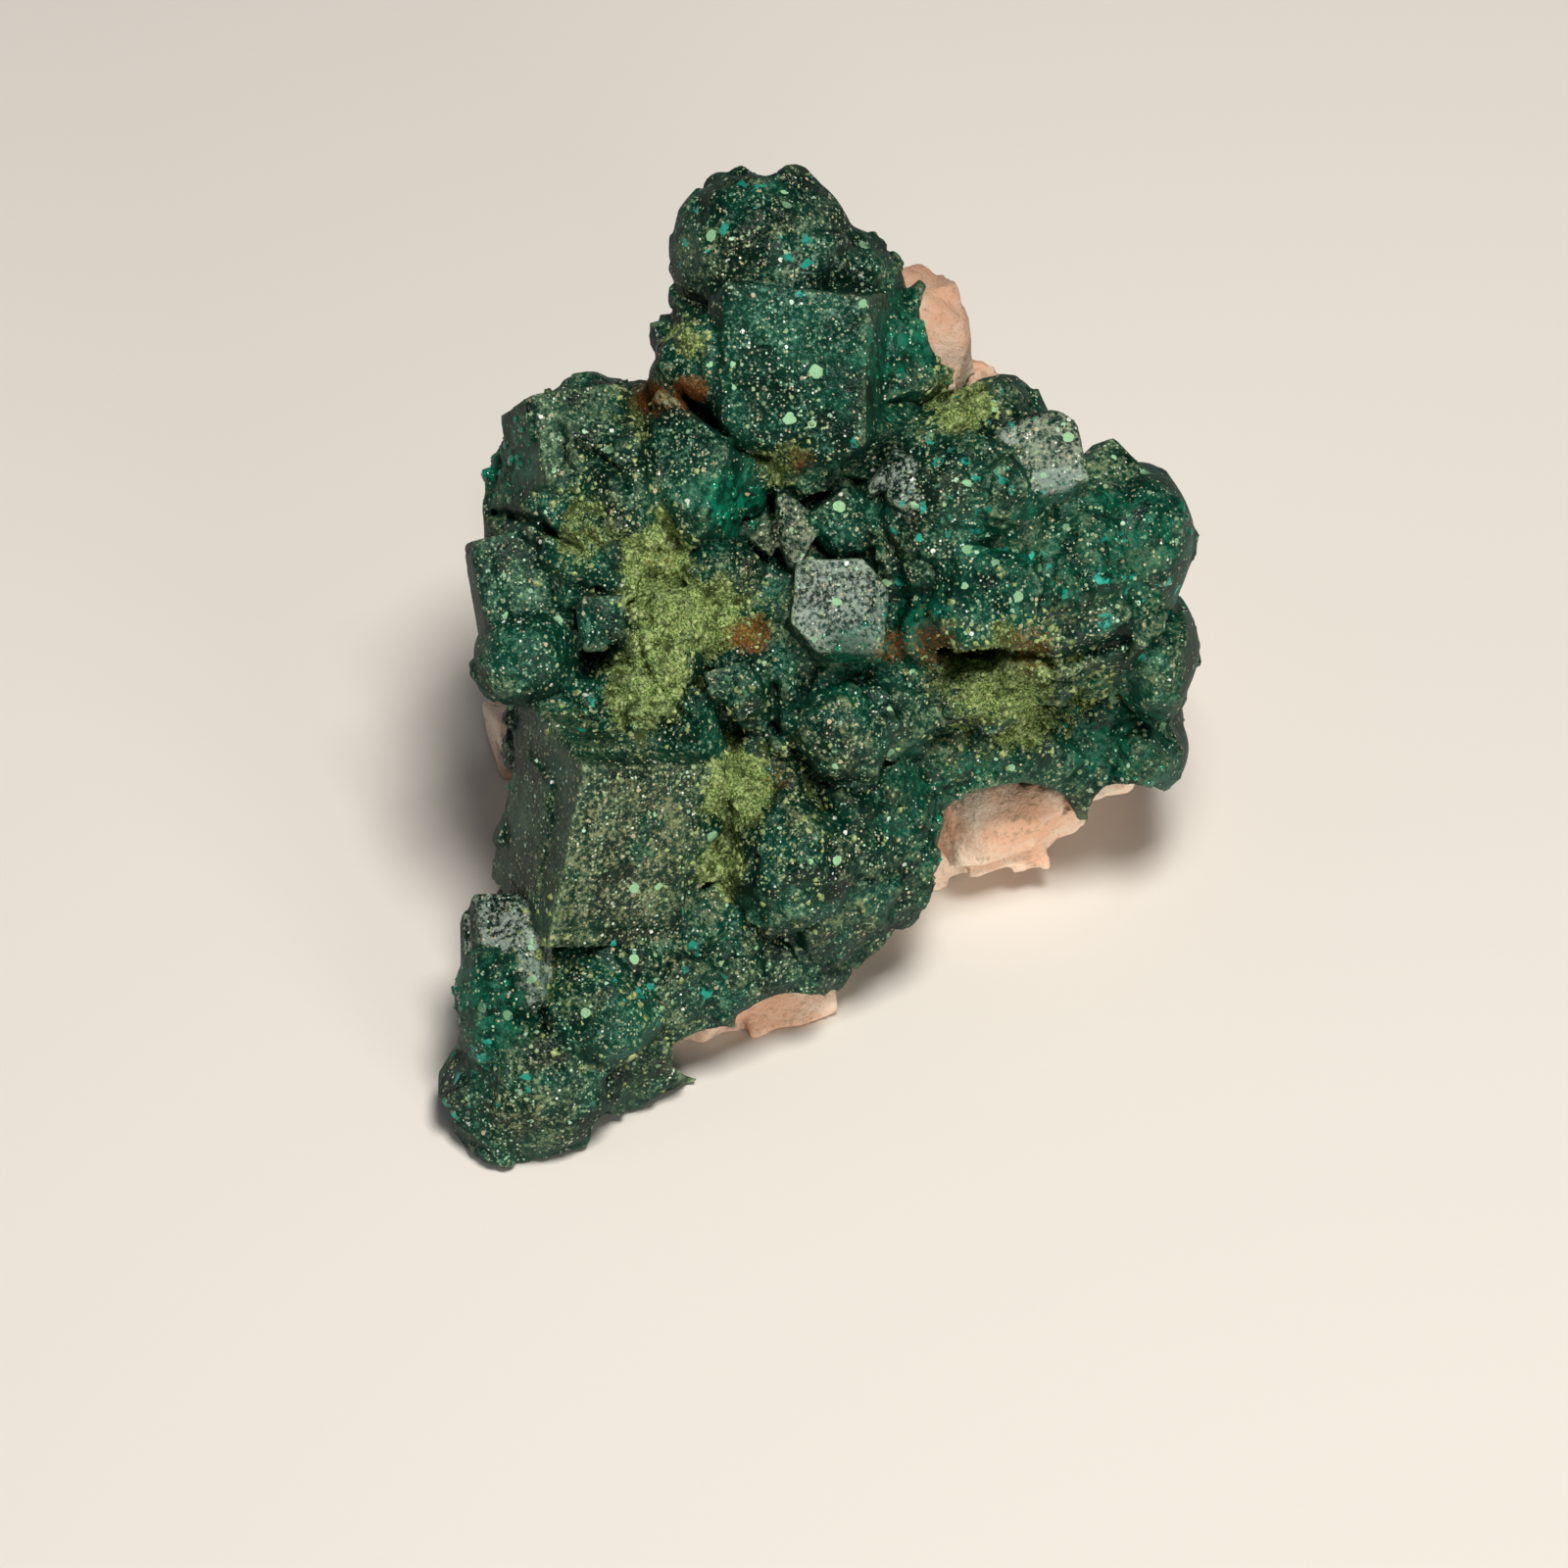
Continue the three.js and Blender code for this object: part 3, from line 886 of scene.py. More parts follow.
@dataclass(frozen=True)
class CalciteFinish:
    """Calcite rock, broken by hand: dull, pale pink and cream, with green and brown stains."""

    name: str = "calcite_rock_broken"
    pink: int = 0xF0C0A2
    cream: int = 0xFAE6D2
    brown: int = 0x84604A
    stain: int = 0x3E5A48
    roughness: float = 0.88

    def material(self) -> bpy.types.Material:
        """Builds the material.

        Returns:
            The material, on object coordinates.
        """
        material, n = new_material(self.name)
        where = n.add("ShaderNodeTexCoord", output="Object")
        broad, middling, fine = (
            n.add(
                "ShaderNodeTexNoise",
                {"Vector": where, "Scale": per_size(size), "Detail": 5.0, "Roughness": 0.68},
            )
            for size in (5.0, 1.5, 0.3)
        )
        coats = []
        for value, low, high, top, tone in (
            (broad, 0.38, 0.62, 1.0, self.cream),
            (fine, 0.54, 0.72, 0.55, self.brown),
            (middling, 0.57, 0.68, 0.5, self.stain),
        ):
            share = n.add(
                "ShaderNodeMapRange",
                {"Value": value, "From Min": low, "From Max": high, "To Max": top},
                interpolation_type="SMOOTHSTEP",
            )
            coats.append((share, tone))
        # the highest rock, over 24 mm up, has weathered browner
        height = n.add("ShaderNodeSeparateXYZ", {"Vector": where}, "Z")
        weathered = n.add(
            "ShaderNodeMapRange",
            {"Value": height, "From Min": 24 * MM, "From Max": 34 * MM, "To Max": 0.5},
        )
        colour = n.coated(self.pink, *coats, (weathered, self.brown))
        relief = n.summed(middling, (fine, 0.6))
        bump = n.add("ShaderNodeBump", {"Height": relief, "Strength": 0.9, "Distance": 0.35 * MM})
        shader = n.add(
            "ShaderNodeBsdfPrincipled",
            {"Base Color": colour, "Roughness": self.roughness, "Normal": bump},
        )
        n.add("ShaderNodeOutputMaterial", {"Surface": shader})
        return material


@dataclass(frozen=True)
class GrainFinish:
    """Small loose grains, of one colour that wanders between two tones."""

    name: str
    dark: int
    light: int
    roughness: float
    ior: float = 1.5

    def material(self) -> bpy.types.Material:
        """Builds the material.

        Returns:
            The material, on object coordinates.
        """
        material, n = new_material(self.name)
        where = n.add("ShaderNodeTexCoord", output="Object")
        value = n.add(
            "ShaderNodeTexNoise",
            {"Vector": where, "Scale": per_size(0.45), "Detail": 3.0, "Roughness": 0.8},
        )
        share = n.add("ShaderNodeMapRange", {"Value": value, "From Min": 0.36, "From Max": 0.64})
        shader = n.add(
            "ShaderNodeBsdfPrincipled",
            {
                "Base Color": n.coated(self.dark, (share, self.light)),
                "Roughness": self.roughness,
                "IOR": self.ior,
            },
        )
        n.add("ShaderNodeOutputMaterial", {"Surface": shader})
        return material


@dataclass
class HostRock:
    """The rock that the crystals grew on: a block of broken planes, with bare bumps.

    Attributes:
        heart: a point well inside it, in the frame before the footprint is centred.
        planes: for each broken plane, the way it looks and a point on it, in that same frame.
        bumps: bare rock that shows beside the crystals.
        fractures: how many small planes chip its surface.
        cleavage: the shape that calcite cleaves into.
        steps: how many cleavage steps there are in the broken surface.
    """

    heart: Triple = (1.0, 14.0, 12.0)
    planes: tuple[tuple[Triple, Triple], ...] = (
        ((0.62, -0.78, 0.05), (4.0, 3.4, 3.0)),
        ((0.5, -0.6, 0.62), (10.0, 9.0, 17.0)),
        ((-0.97, -0.2, 0.12), (-14.0, 4.0, 10.0)),
        ((-0.75, 0.62, 0.22), (-13.0, 22.0, 14.0)),
        ((-0.1, 0.98, 0.15), (0.0, 27.2, 12.0)),
        ((0.6, 0.78, 0.2), (12.0, 25.5, 12.0)),
        ((0.98, 0.05, 0.2), (18.2, 14.0, 8.0)),
        ((0.0, -0.66, 0.75), (0.0, 10.5, 24.2)),
        ((0.35, 0.72, 0.6), (4.0, 26.0, 31.5)),
        ((-0.55, 0.35, 0.75), (-9.0, 20.0, 29.0)),
        ((0.74, 0.1, 0.66), (13.0, 20.0, 27.0)),
        ((0.0, 0.3, 0.95), (2.0, 22.0, 36.2)),
    )
    bumps: tuple[Lump, ...] = (
        Lump((5.4, 19.8, -9.4), (4.2, 4.8, 4.2)),
        Lump((11.0, -8.0, -22.5), (5.6, 4.2, 5.0)),
        Lump((-1.6, -18.4, -18.6), (3.6, 2.6, 3.0)),
        Lump((-5.4, -20.6, -17.4), (3.4, 2.4, 3.0)),
        Lump((18.2, -5.4, -23.0), (3.2, 2.6, 3.8)),
    )
    fractures: int = 90
    cleavage: Rhomb = Rhomb(
        (0.9, 0.9, 0.9), ((-1.7, -0.5, 0.3), (0.3, -1.7, -0.5), (-0.4, 0.4, -1.7))
    )
    steps: int = 420

    def grow(self, volume: Volume) -> None:
        """Fills the rock's volume.

        Args:
            volume: the volume to fill.
        """
        foot = np.array([*FACE.foot_middle, 0.0])
        middle = FACE.laid_flat(np.asarray(self.heart) - foot)
        normals = np.array([unit(looks) for looks, _ in self.planes])
        through = np.array([through for _, through in self.planes])
        reaches = ((through - np.asarray(self.heart)) * normals).sum(axis=1)
        # no plane below: the ground cuts the rock there
        normals = np.vstack([normals, [[0.0, 0.0, -1.0]]]) @ FACE.turn
        reaches = np.append(reaches, 16.0)
        volume.add_block(Block(middle, normals, reaches, 0.5), 0.0)
        for bump in self.bumps:
            volume.add_lump(bump, 1.2)
        volume.values += 0.55 * volume.noise(5.5, 11) + 0.42 * volume.noise(2.4, 12)
        rng = np.random.default_rng(5)
        points, _ = volume.surface()
        for _ in range(self.fractures):
            normal = unit(rng.normal(size=3))
            volume.cut(normal, (points @ normal).max() - rng.uniform(0.3, 1.3))
        points, quads = volume.surface()
        normals = quad_normals(points, quads) @ FACE.turn
        middles = FACE.laid_flat(points[quads].mean(axis=1))
        cleavage = self.cleavage.block()
        for index in rng.choice(len(quads), self.steps, replace=False):
            size = rng.uniform(1.2, 3.2)
            outward = normals[index]
            reach = size * (cleavage.reaches / np.maximum(cleavage.normals @ outward, 0.3)).min()
            proud = rng.uniform(-0.3, 0.2)
            # two in five steps are added, the others are broken out
            if rng.random() < 0.4:
                at = middles[index] - outward * (reach - proud)
                volume.add_block(cleavage.moved(size, at, 0.5), 0.1)
            else:
                at = middles[index] + outward * (reach - 0.3 - proud)
                volume.take_block(cleavage.moved(size, at, 0.5))
        volume.values += 0.16 * volume.noise(1.1, 13)


@dataclass
class CrystalCrust:
    """The crystals grown together over the rock's display side.

    Attributes:
        swellings: the broad body of the crust.
        knobs: rounded lumps of fine crystals.
        crystals: the single crystals that stand out.
        rhombs: those of them that are nearly cubes.
        grooves: the cracks between them.
        patches: what lies on them where.
        clearings: where the crust is broken off and the rock shows.
        sowings: the small crystals, from the coarsest to the finest.
    """

    swellings: tuple[Lump, ...] = (
        Lump((-1.8, 17.4, -9.0), (7.4, 9.4, 8.4)),
        Lump((3.6, 18.4, -9.8), (5.6, 5.0, 6.2)),
        Lump((7.6, 9.8, -9.6), (6.8, 6.4, 8.0)),
        Lump((14.2, 5.4, -10.4), (7.4, 6.8, 8.2)),
        Lump((-11.6, 8.6, -10.2), (7.8, 8.6, 8.0)),
        Lump((-2.0, 4.2, -12.0), (10.0, 9.6, 7.6)),
        Lump((-10.8, -5.6, -11.4), (7.4, 9.8, 8.0)),
        Lump((-11.4, -17.2, -13.6), (8.0, 8.0, 7.0)),
        Lump((-16.6, -23.6, -10.4), (4.8, 5.0, 4.4)),
        Lump((-0.8, -9.0, -14.2), (8.4, 9.0, 8.0)),
        Lump((7.6, -4.4, -17.6), (9.8, 5.6, 7.2)),
        Lump((15.6, -2.6, -20.4), (6.2, 4.8, 6.2)),
        Lump((-6.2, -16.8, -15.2), (8.2, 5.6, 6.4)),
    )
    knobs: tuple[Lump, ...] = (
        Lump((-2.6, 24.0, -4.8), (5.0, 5.0, 4.6)),
        Lump((1.5, 22.2, -7.0), (4.4, 4.0, 4.2)),
        Lump((-6.4, 18.6, -4.6), (1.5, 3.0, 3.0)),
        Lump((-8.2, 16.8, -4.6), (1.4, 1.6, 2.0)),
        Lump((-10.8, 10.2, -5.2), (3.2, 4.4, 4.6)),
        Lump((-16.9, 0.8, -6.4), (2.6, 2.6, 3.6)),
        Lump((9.2, 10.4, -5.6), (5.0, 3.8, 5.0)),
        Lump((10.2, 13.8, -8.4), (3.6, 3.4, 4.6)),
        Lump((19.4, 7.6, -8.6), (2.8, 4.0, 4.6)),
        Lump((20.6, 0.8, -13.0), (2.0, 3.6, 5.0)),
        Lump((19.4, -4.6, -17.6), (2.6, 2.8, 4.0)),
        Lump((16.8, -6.0, -18.4), (3.0, 2.2, 3.0)),
        Lump((8.0, -0.6, -12.4), (5.4, 3.8, 5.0)),
        Lump((6.9, 2.6, -7.6), (2.2, 2.0, 2.6)),
        Lump((1.2, -3.8, -7.0), (3.0, 2.6, 3.0)),
        Lump((4.4, -2.4, -8.6), (2.6, 2.6, 3.0)),
        Lump((-1.4, -11.2, -8.8), (4.2, 4.6, 4.2)),
        Lump((3.2, -9.4, -13.4), (3.6, 3.8, 4.2)),
        Lump((-6.4, -17.8, -11.4), (4.2, 3.2, 3.6)),
        Lump((-12.6, -20.4, -8.6), (3.4, 3.0, 3.2)),
        Lump((-18.6, -19.8, -8.6), (2.4, 3.8, 3.4)),
        Lump((-20.4, -24.6, -10.4), (1.7, 1.8, 2.4)),
        Lump((-18.0, -26.8, -10.4), (3.2, 2.4, 2.6)),
        Lump((-12.6, -23.4, -12.0), (3.0, 2.4, 2.8)),
        Lump((-9.0, 1.6, -5.0), (3.2, 3.8, 2.8)),
        Lump((-5.4, 5.8, -4.8), (2.8, 2.4, 2.4)),
    )
    crystals: tuple[Crystal, ...] = (
        # beside the largest one, low on the left
        Crystal((-17.3, -17.2, -9.4), 6.0, 8.2, (-0.4, 0.2, 0.9), (0.5, 0.7, 0.3), (0.4, -2.0, 0.0), 4, 1.0),
        Crystal((-9.6, -2.2, -5.0), 4.6, 6.2, (0.1, 0.5, 0.86), (0.6, -0.5, 0.3), tint=0.4),
        # the upper main crystal
        Crystal((-0.5, 17.8, -4.8), 12.6, 15.6, (-0.16, -0.04, 0.98), (0.74, 0.64, 0.1), steps=5, tint=0.1),
        Crystal((-2.4, 15.0, -4.4), 6.2, 8.4, (-0.35, -0.3, 0.9), (-0.5, 0.8, 0.2), tint=0.2),
        Crystal((3.8, 13.6, -5.2), 5.0, 7.0, (0.2, -0.6, 0.8), (0.8, 0.3, 0.1), tint=0.6),
        # the top
        Crystal((-3.2, 23.4, -4.6), 7.2, 9.0, (-0.1, 0.1, 0.99), (0.3, 0.9, 0.1), steps=6, tint=0.5),
        Crystal((0.6, 22.2, -5.6), 5.2, 7.2, (0.35, 0.5, 0.8), (0.7, -0.6, 0.1), tint=0.7),
        # the middle
        Crystal((1.5, 3.3, -3.6), 5.6, 7.2, (-0.06, 0.24, 0.97), (-0.6, 0.7, 0.2), (1.0, -1.0, 0.0), 1, 1.0),
        Crystal((1.6, 8.6, -5.2), 3.9, 5.4, (0.05, -0.1, 0.99), (0.1, 0.95, 0.2), steps=2, tint=0.2),
        Crystal((-1.6, 8.0, -4.2), 1.4, 2.2, (0.2, 0.1, 0.97), (0.9, 0.2, 0.0), (-0.6, 3.0, 0.0), 0, 0.9),
        Crystal((-7.0, 11.4, -3.9), 5.8, 7.4, (-0.34, 0.2, 0.92), (0.8, 0.4, 0.2), (0.6, -2.6, 0.0), 4, 0.4),
        Crystal((-4.6, -1.6, -5.4), 3.7, 5.2, (0.1, 0.2, 0.97), (-0.8, 0.4, 0.2), steps=3, tint=0.4),
        # the left lobe
        Crystal((-14.2, 12.6, -6.2), 7.4, 9.4, (0.3, 0.3, 0.9), (-0.7, 0.6, 0.2), (-0.6, 0.8, 0.0), 6, 0.6),
        Crystal((-11.6, 8.4, -5.0), 4.8, 6.6, (0.35, 0.0, 0.94), (-0.2, -0.9, 0.1), tint=0.3),
        Crystal((-17.8, 5.0, -6.4), 5.0, 6.8, (0.1, 0.1, 0.99), (-0.8, 0.5, 0.0), (0.2, -1.6, 0.0), 5, 0.4),
        Crystal((-12.4, 2.8, -2.9), 3.4, 4.6, (0.05, 0.0, 0.99), (0.65, 0.75, 0.0), steps=2, tint=0.2),
        # the right lobe
        Crystal((5.4, 10.6, -3.0), 4.0, 5.2, (-0.2, 0.25, 0.95), (0.2, -0.9, 0.2), tint=1.0),
        Crystal((7.8, 9.8, -3.6), 3.6, 4.8, (0.1, 0.3, 0.95), (0.9, 0.0, 0.1), tint=0.7),
        Crystal((13.3, 11.9, -4.4), 5.0, 6.4, (0.1, 0.35, 0.93), (0.8, -0.5, 0.1), (1.2, -0.6, 0.0), 5, 1.0),
        Crystal((10.6, 3.8, -4.2), 6.6, 8.4, (-0.12, -0.1, 0.98), (0.5, -0.8, 0.0), (0.4, -1.0, 0.0), 3, 0.1),
        Crystal((7.6, 5.0, -6.0), 4.0, 5.6, (-0.4, -0.1, 0.9), (-0.5, -0.8, 0.0), tint=0.5),
        Crystal((16.6, 5.0, -7.6), 8.4, 10.6, (0.35, 0.12, 0.93), (0.5, -0.8, 0.1), (0.0, -1.2, 0.0), 6, 0.7),
        Crystal((17.2, 9.8, -7.8), 6.2, 8.0, (0.2, 0.45, 0.86), (0.9, 0.1, 0.1), tint=0.7),
        Crystal((13.6, 0.8, -8.6), 5.0, 7.0, (0.0, -0.5, 0.86), (-0.6, -0.6, 0.0), tint=0.6),
        # the lower flank
        Crystal((-8.2, -14.4, -9.4), 3.6, 5.2, (0.4, -0.3, 0.86), (0.6, 0.6, 0.2), tint=0.7),
        Crystal((8.4, -5.2, -15.2), 4.6, 6.2, (0.1, -0.2, 0.97), (0.7, -0.6, 0.0), tint=0.7),
        Crystal((-2.6, -10.6, -8.4), 6.0, 7.6, (0.4, -0.3, 0.86), (-0.3, 0.8, 0.3), tint=0.5),
        Crystal((12.8, -3.4, -17.6), 4.2, 6.0, (0.1, 0.4, 0.9), (0.3, -0.9, 0.1), tint=0.7),
    )
    rhombs: tuple[Rhomb, ...] = (
        # the largest one, low on the left
        Rhomb(
            (-13.35, -5.9, 1.0),
            ((-2.29, -10.7, -5.12), (7.62, 0.17, -3.76), (-3.61, 4.18, -7.12)),
            steps=6,
            tint=0.79,
        ),
    )
    grooves: tuple[Groove, ...] = (
        Groove(((-10.9, 17.3), (-10.0, 13.8), (-9.1, 9.2), (-8.0, 6.9)), 0.32, 0.6),
        Groove(((-7.9, 16.4), (-6.0, 14.4), (-4.6, 13.0), (-2.4, 12.2), (-2.0, 10.9)), 0.34, 0.7),
        Groove(((-10.3, 1.7), (-9.7, -0.6), (-8.0, -2.3), (-6.6, -3.7)), 0.17, 0.52),
        Groove(((-2.3, -1.1), (-2.4, -3.4), (-0.4, -5.6), (-0.2, -7.4), (1.6, -9.2)), 0.34, 0.7),
        Groove(((-5.4, -2.3), (-4.6, -5.0), (-5.2, -8.2), (-4.8, -11.0), (-6.8, -14.9)), 0.5, 0.8),
        Groove(((6.8, 1.6), (8.6, 0.4), (11.2, 1.1), (14.4, 0.3), (18.3, 1.7)), 0.5, 0.8),
        Groove(((-2.6, 10.3), (-1.9, 5.9)), 0.28, 0.68),
        Groove(((-13.8, 13.2), (-11.5, 11.5), (-10.9, 10.3)), 0.21, 0.52),
        Groove(((-18.9, 9.2), (-16.3, 8.6), (-13.8, 6.9)), 0.24, 0.68),
        Groove(((4.0, 10.3), (3.8, 8.6), (4.6, 6.9), (5.2, 5.0)), 0.3, 0.55),
    )
    patches: tuple[Patch, ...] = tuple(
        Patch(zone, (across, up), radius, weight)
        for zone, places in (
            (
                Zone.POWDER,
                (
                    (-9.0, 6.0, 3.2, 1.0), (-6.4, 3.4, 3.6, 1.0), (-9.6, -0.6, 3.2, 1.0),
                    (-13.6, 7.8, 2.4, 0.8), (-11.0, 14.4, 2.2, 0.6), (-7.2, 18.8, 1.4, 1.0),
                    (8.6, 15.6, 2.6, 1.0), (-1.4, 12.0, 1.8, 0.8), (11.0, -1.0, 4.6, 0.9),
                    (16.0, -0.6, 2.6, 0.7), (-4.4, -7.0, 2.8, 1.0), (-5.8, -11.4, 2.2, 1.0),
                    (-1.0, -8.6, 2.8, 0.55), (-4.6, -1.4, 1.8, 0.5), (-14.6, -17.4, 2.8, 0.5),
                    (-13.0, 10.6, 5.0, 0.45), (-2.4, -10.6, 5.0, 0.5), (0.6, -6.4, 4.0, 0.35),
                    (-12.0, -20.6, 5.0, 0.4), (-12.6, -2.8, 2.4, 0.5), (4.0, -8.0, 4.0, 0.3),
                ),
            ),
            (
                Zone.RUST,
                (
                    (-9.4, 15.9, 1.4, 1.0), (-7.4, 16.2, 1.2, 1.0), (-3.2, 15.0, 1.2, 0.5),
                    (-0.9, 11.8, 1.2, 0.8), (-3.9, 1.9, 1.6, 0.9), (-8.6, 6.2, 1.6, 0.6),
                    (4.6, 1.0, 1.3, 0.8), (7.2, 1.2, 1.6, 0.8), (12.6, 1.0, 1.8, 0.8),
                    (9.4, 15.0, 1.6, 0.5), (-2.0, -6.6, 1.2, 0.7),
                ),
            ),
            (
                Zone.TURQUOISE,
                (
                    (8.6, 10.0, 4.4, 1.0), (19.0, 4.4, 3.0, 1.0), (21.4, 2.4, 2.0, 1.0),
                    (-2.8, 25.4, 4.0, 0.7), (12.0, 14.0, 2.6, 0.8), (-13.0, -3.0, 1.6, 0.6),
                    (-8.6, -18.6, 3.0, 0.6), (-20.6, -24.0, 2.6, 0.8),
                ),
            ),
            (
                Zone.CLEAN,
                (
                    (5.4, 18.4, 3.4, 0.7), (-18.2, 12.4, 2.0, 1.0), (19.8, 7.0, 4.0, 0.6),
                    (6.0, 2.6, 2.4, 0.6), (13.6, 7.0, 4.6, 0.4), (2.6, 0.4, 1.8, 0.7),
                    (-4.9, 9.4, 1.8, 1.0), (-19.6, -20.0, 2.8, 0.7), (8.0, -8.0, 4.0, 0.5),
                    (18.6, -4.6, 3.4, 0.6),
                ),
            ),
            # pale patches on the upper crystals: partly thick pale dust, partly a painted highlight
            (
                Zone.PALE,
                (
                    (2.6, 20.2, 1.6, 0.6), (0.2, 24.2, 2.6, 0.25),
                ),
            ),
        )
        for across, up, radius, weight in places
    )
    clearings: tuple[Lump, ...] = (
        Lump((8.6, 20.8, -6.4), (2.3, 3.2, 3.4)),
        Lump((11.4, -9.4, -18.0), (4.6, 3.4, 9.0)),
        Lump((-1.6, -20.9, -15.0), (3.4, 1.9, 7.0)),
        Lump((-6.0, -22.9, -14.0), (3.0, 1.7, 7.0)),
        Lump((19.0, -8.2, -19.0), (2.6, 1.7, 7.0)),
    )
    sowings: tuple[Sowing, ...] = (
        Sowing(560, 3.0, 6.4, 0.3, 0.8, 0.0, 41),
        Sowing(420, 1.4, 3.0, 0.18, 0.36, 0.03, 42),
        Sowing(400, 0.8, 1.4, 0.1, 0.2, 0.02, 43),
    )

    def grow(self, volume: Volume, rock: np.ndarray) -> None:
        """Fills the crust's volume.

        Args:
            volume: the volume to fill.
            rock: the distance to the rock, on the same cells.
        """
        for swelling in self.swellings:
            volume.add_lump(swelling, 1.2)
        for knob in self.knobs:
            volume.add_lump(knob, 0.4)
        volume.values += 0.35 + 0.3 * volume.noise(3.6, 21) + 0.12 * volume.noise(1.5, 22)
        lumps = volume.values.copy()
        self.sow(volume, self.sowings[0], lumps)
        rng = np.random.default_rng(31)
        for crystal in (*self.rhombs, *self.crystals):
            block = crystal.block()
            volume.add_block(block, 0.08, claim=True)
            for smaller in self.parallel_growth(block, crystal.steps, rng):
                volume.add_block(smaller, 0.04, claim=True)
        for sowing in self.sowings[1:]:
            self.sow(volume, sowing, volume.values.copy())
        self.pile(volume)
        volume.values += 0.04 * volume.noise(1.9, 23) + 0.025 * volume.noise(0.7, 24)
        uncracked = np.maximum(volume.values, rock - 1.0)
        self.crack(volume)
        np.minimum(volume.values, uncracked, out=volume.values)
        for clearing in self.clearings:
            volume.clear_lump(clearing)
        np.maximum(volume.values, -(rock + 0.35), out=volume.values)

    def parallel_growth(self, block: Block, steps: int, rng: np.random.Generator) -> list[Block]:
        """Works out the smaller parallel crystals that stand out of a crystal's faces.

        Args:
            block: the crystal.
            steps: how many smaller ones there are.
            rng: where the random sizes and places come from.

        Returns:
            The smaller crystals.
        """
        looking_out = np.flatnonzero(block.normals[:, 2] > 0.1)
        grown = []
        for _ in range(steps):
            index = rng.choice(looking_out)
            normal, reach = block.normals[index], block.reaches[index]
            share = rng.uniform(0.4, 0.82)
            proud = rng.uniform(0.1, 0.34)
            aside = rng.normal(size=3)
            aside = unit(aside - normal * aside.dot(normal))
            slide = aside * rng.uniform(0.3, 1.0) * (1 - share) * block.reaches.mean()
            middle = block.middle + normal * ((1 - share) * reach + proud) + slide
            tint = float(np.clip(block.tint + rng.uniform(-0.1, 0.1), 0, 1))
            grown.append(block.moved(share, middle, tint))
        return grown

    def sow(self, volume: Volume, sowing: Sowing, ground: np.ndarray) -> None:
        """Roughens the surface with small crystals that stand a little out of it.

        Args:
            volume: the volume that they grow in.
            sowing: how many there are, and how large.
            ground: the distance to the surface that they grow on.
        """
        rng = np.random.default_rng(sowing.seed)
        points, quads = volume.surface()
        normals = quad_normals(points, quads) @ FACE.turn
        middles = points[quads].mean(axis=1)
        cells = np.round((middles - np.asarray(volume.low)) / volume.cell).astype(int)
        chance = np.where(volume.claimed[tuple(cells.T)], sowing.on_crystals, 1.0)
        chance = chance * np.where(normals[:, 2] > -0.4, 1.0, 0.6)
        lid = ground - np.float32(sowing.lid)
        for index in rng.choice(len(quads), sowing.count, replace=False, p=chance / chance.sum()):
            outward = normals[index]
            width = rng.uniform(*(size**-0.5 for size in (sowing.largest, sowing.smallest))) ** -2
            face = unit(outward + rng.normal(size=3) * 0.2)
            crystal = Crystal(
                (0.0, 0.0, 0.0),
                width,
                width * rng.uniform(1.25, 1.6),
                tuple(face),
                tuple(rng.normal(size=3)),
                tuple(rng.normal(size=3) * width * 0.25),
                0,
                0.85 * float(rng.random()),
            ).block()
            reach = crystal.reaches[(crystal.normals @ outward).argmax()]
            depth = reach - sowing.proud * rng.uniform(0.2, 1.2)
            at = FACE.laid_flat(middles[index]) - outward * depth
            volume.add_block(crystal.moved(1.0, at, crystal.tint), 0.05, lid)

    def pile(self, volume: Volume) -> None:
        """Roughens the surface into small heaps where the powder lies.

        Args:
            volume: the crust's volume.
        """
        heaps = 0.34 * volume.noise(1.0, 25) + 0.16 * volume.noise(0.5, 26)
        for patch in self.patches:
            if patch.zone is not Zone.POWDER or patch.weight < 0.6:
                continue
            reach = patch.radius * 1.3
            where, axes = volume.window(FACE.place((*patch.at, -6.0)), reach + 6.0)
            cells = FACE.laid_flat(np.stack(np.broadcast_arrays(*axes), axis=-1))
            away = np.hypot(cells[..., 0] - patch.at[0], cells[..., 1] - patch.at[1])
            share = np.clip(1.2 - away / reach, 0, 1) * (cells[..., 2] > -18)
            volume.values[where] += (share * heaps[where]).astype(np.float32)
            heaps[where] *= (1 - share).astype(np.float32)

    def crack(self, volume: Volume) -> None:
        """Sinks the grooves into the display side.

        Args:
            volume: the crust's volume.
        """
        low = np.asarray(volume.low)
        for groove in self.grooves:
            corners = np.asarray(groove.path)
            margin = groove.width * 3
            at = [*((corners.max(0) + corners.min(0)) / 2), -6.0]
            reach = max(float((corners.max(0) - corners.min(0)).max()) / 2 + margin, 7.0)
            where, axes = volume.window(FACE.place(at), reach * 1.2)
            cells = np.stack(np.broadcast_arrays(*axes), axis=-1)
            flat = FACE.laid_flat(cells)
            away = path_distance(flat[..., :2], groove.path)
            depth = groove.depth * np.exp(-((away / groove.width) ** 2))
            depth = depth * (flat[..., 2] > -12)
            volume.values[where] += depth.astype(np.float32)

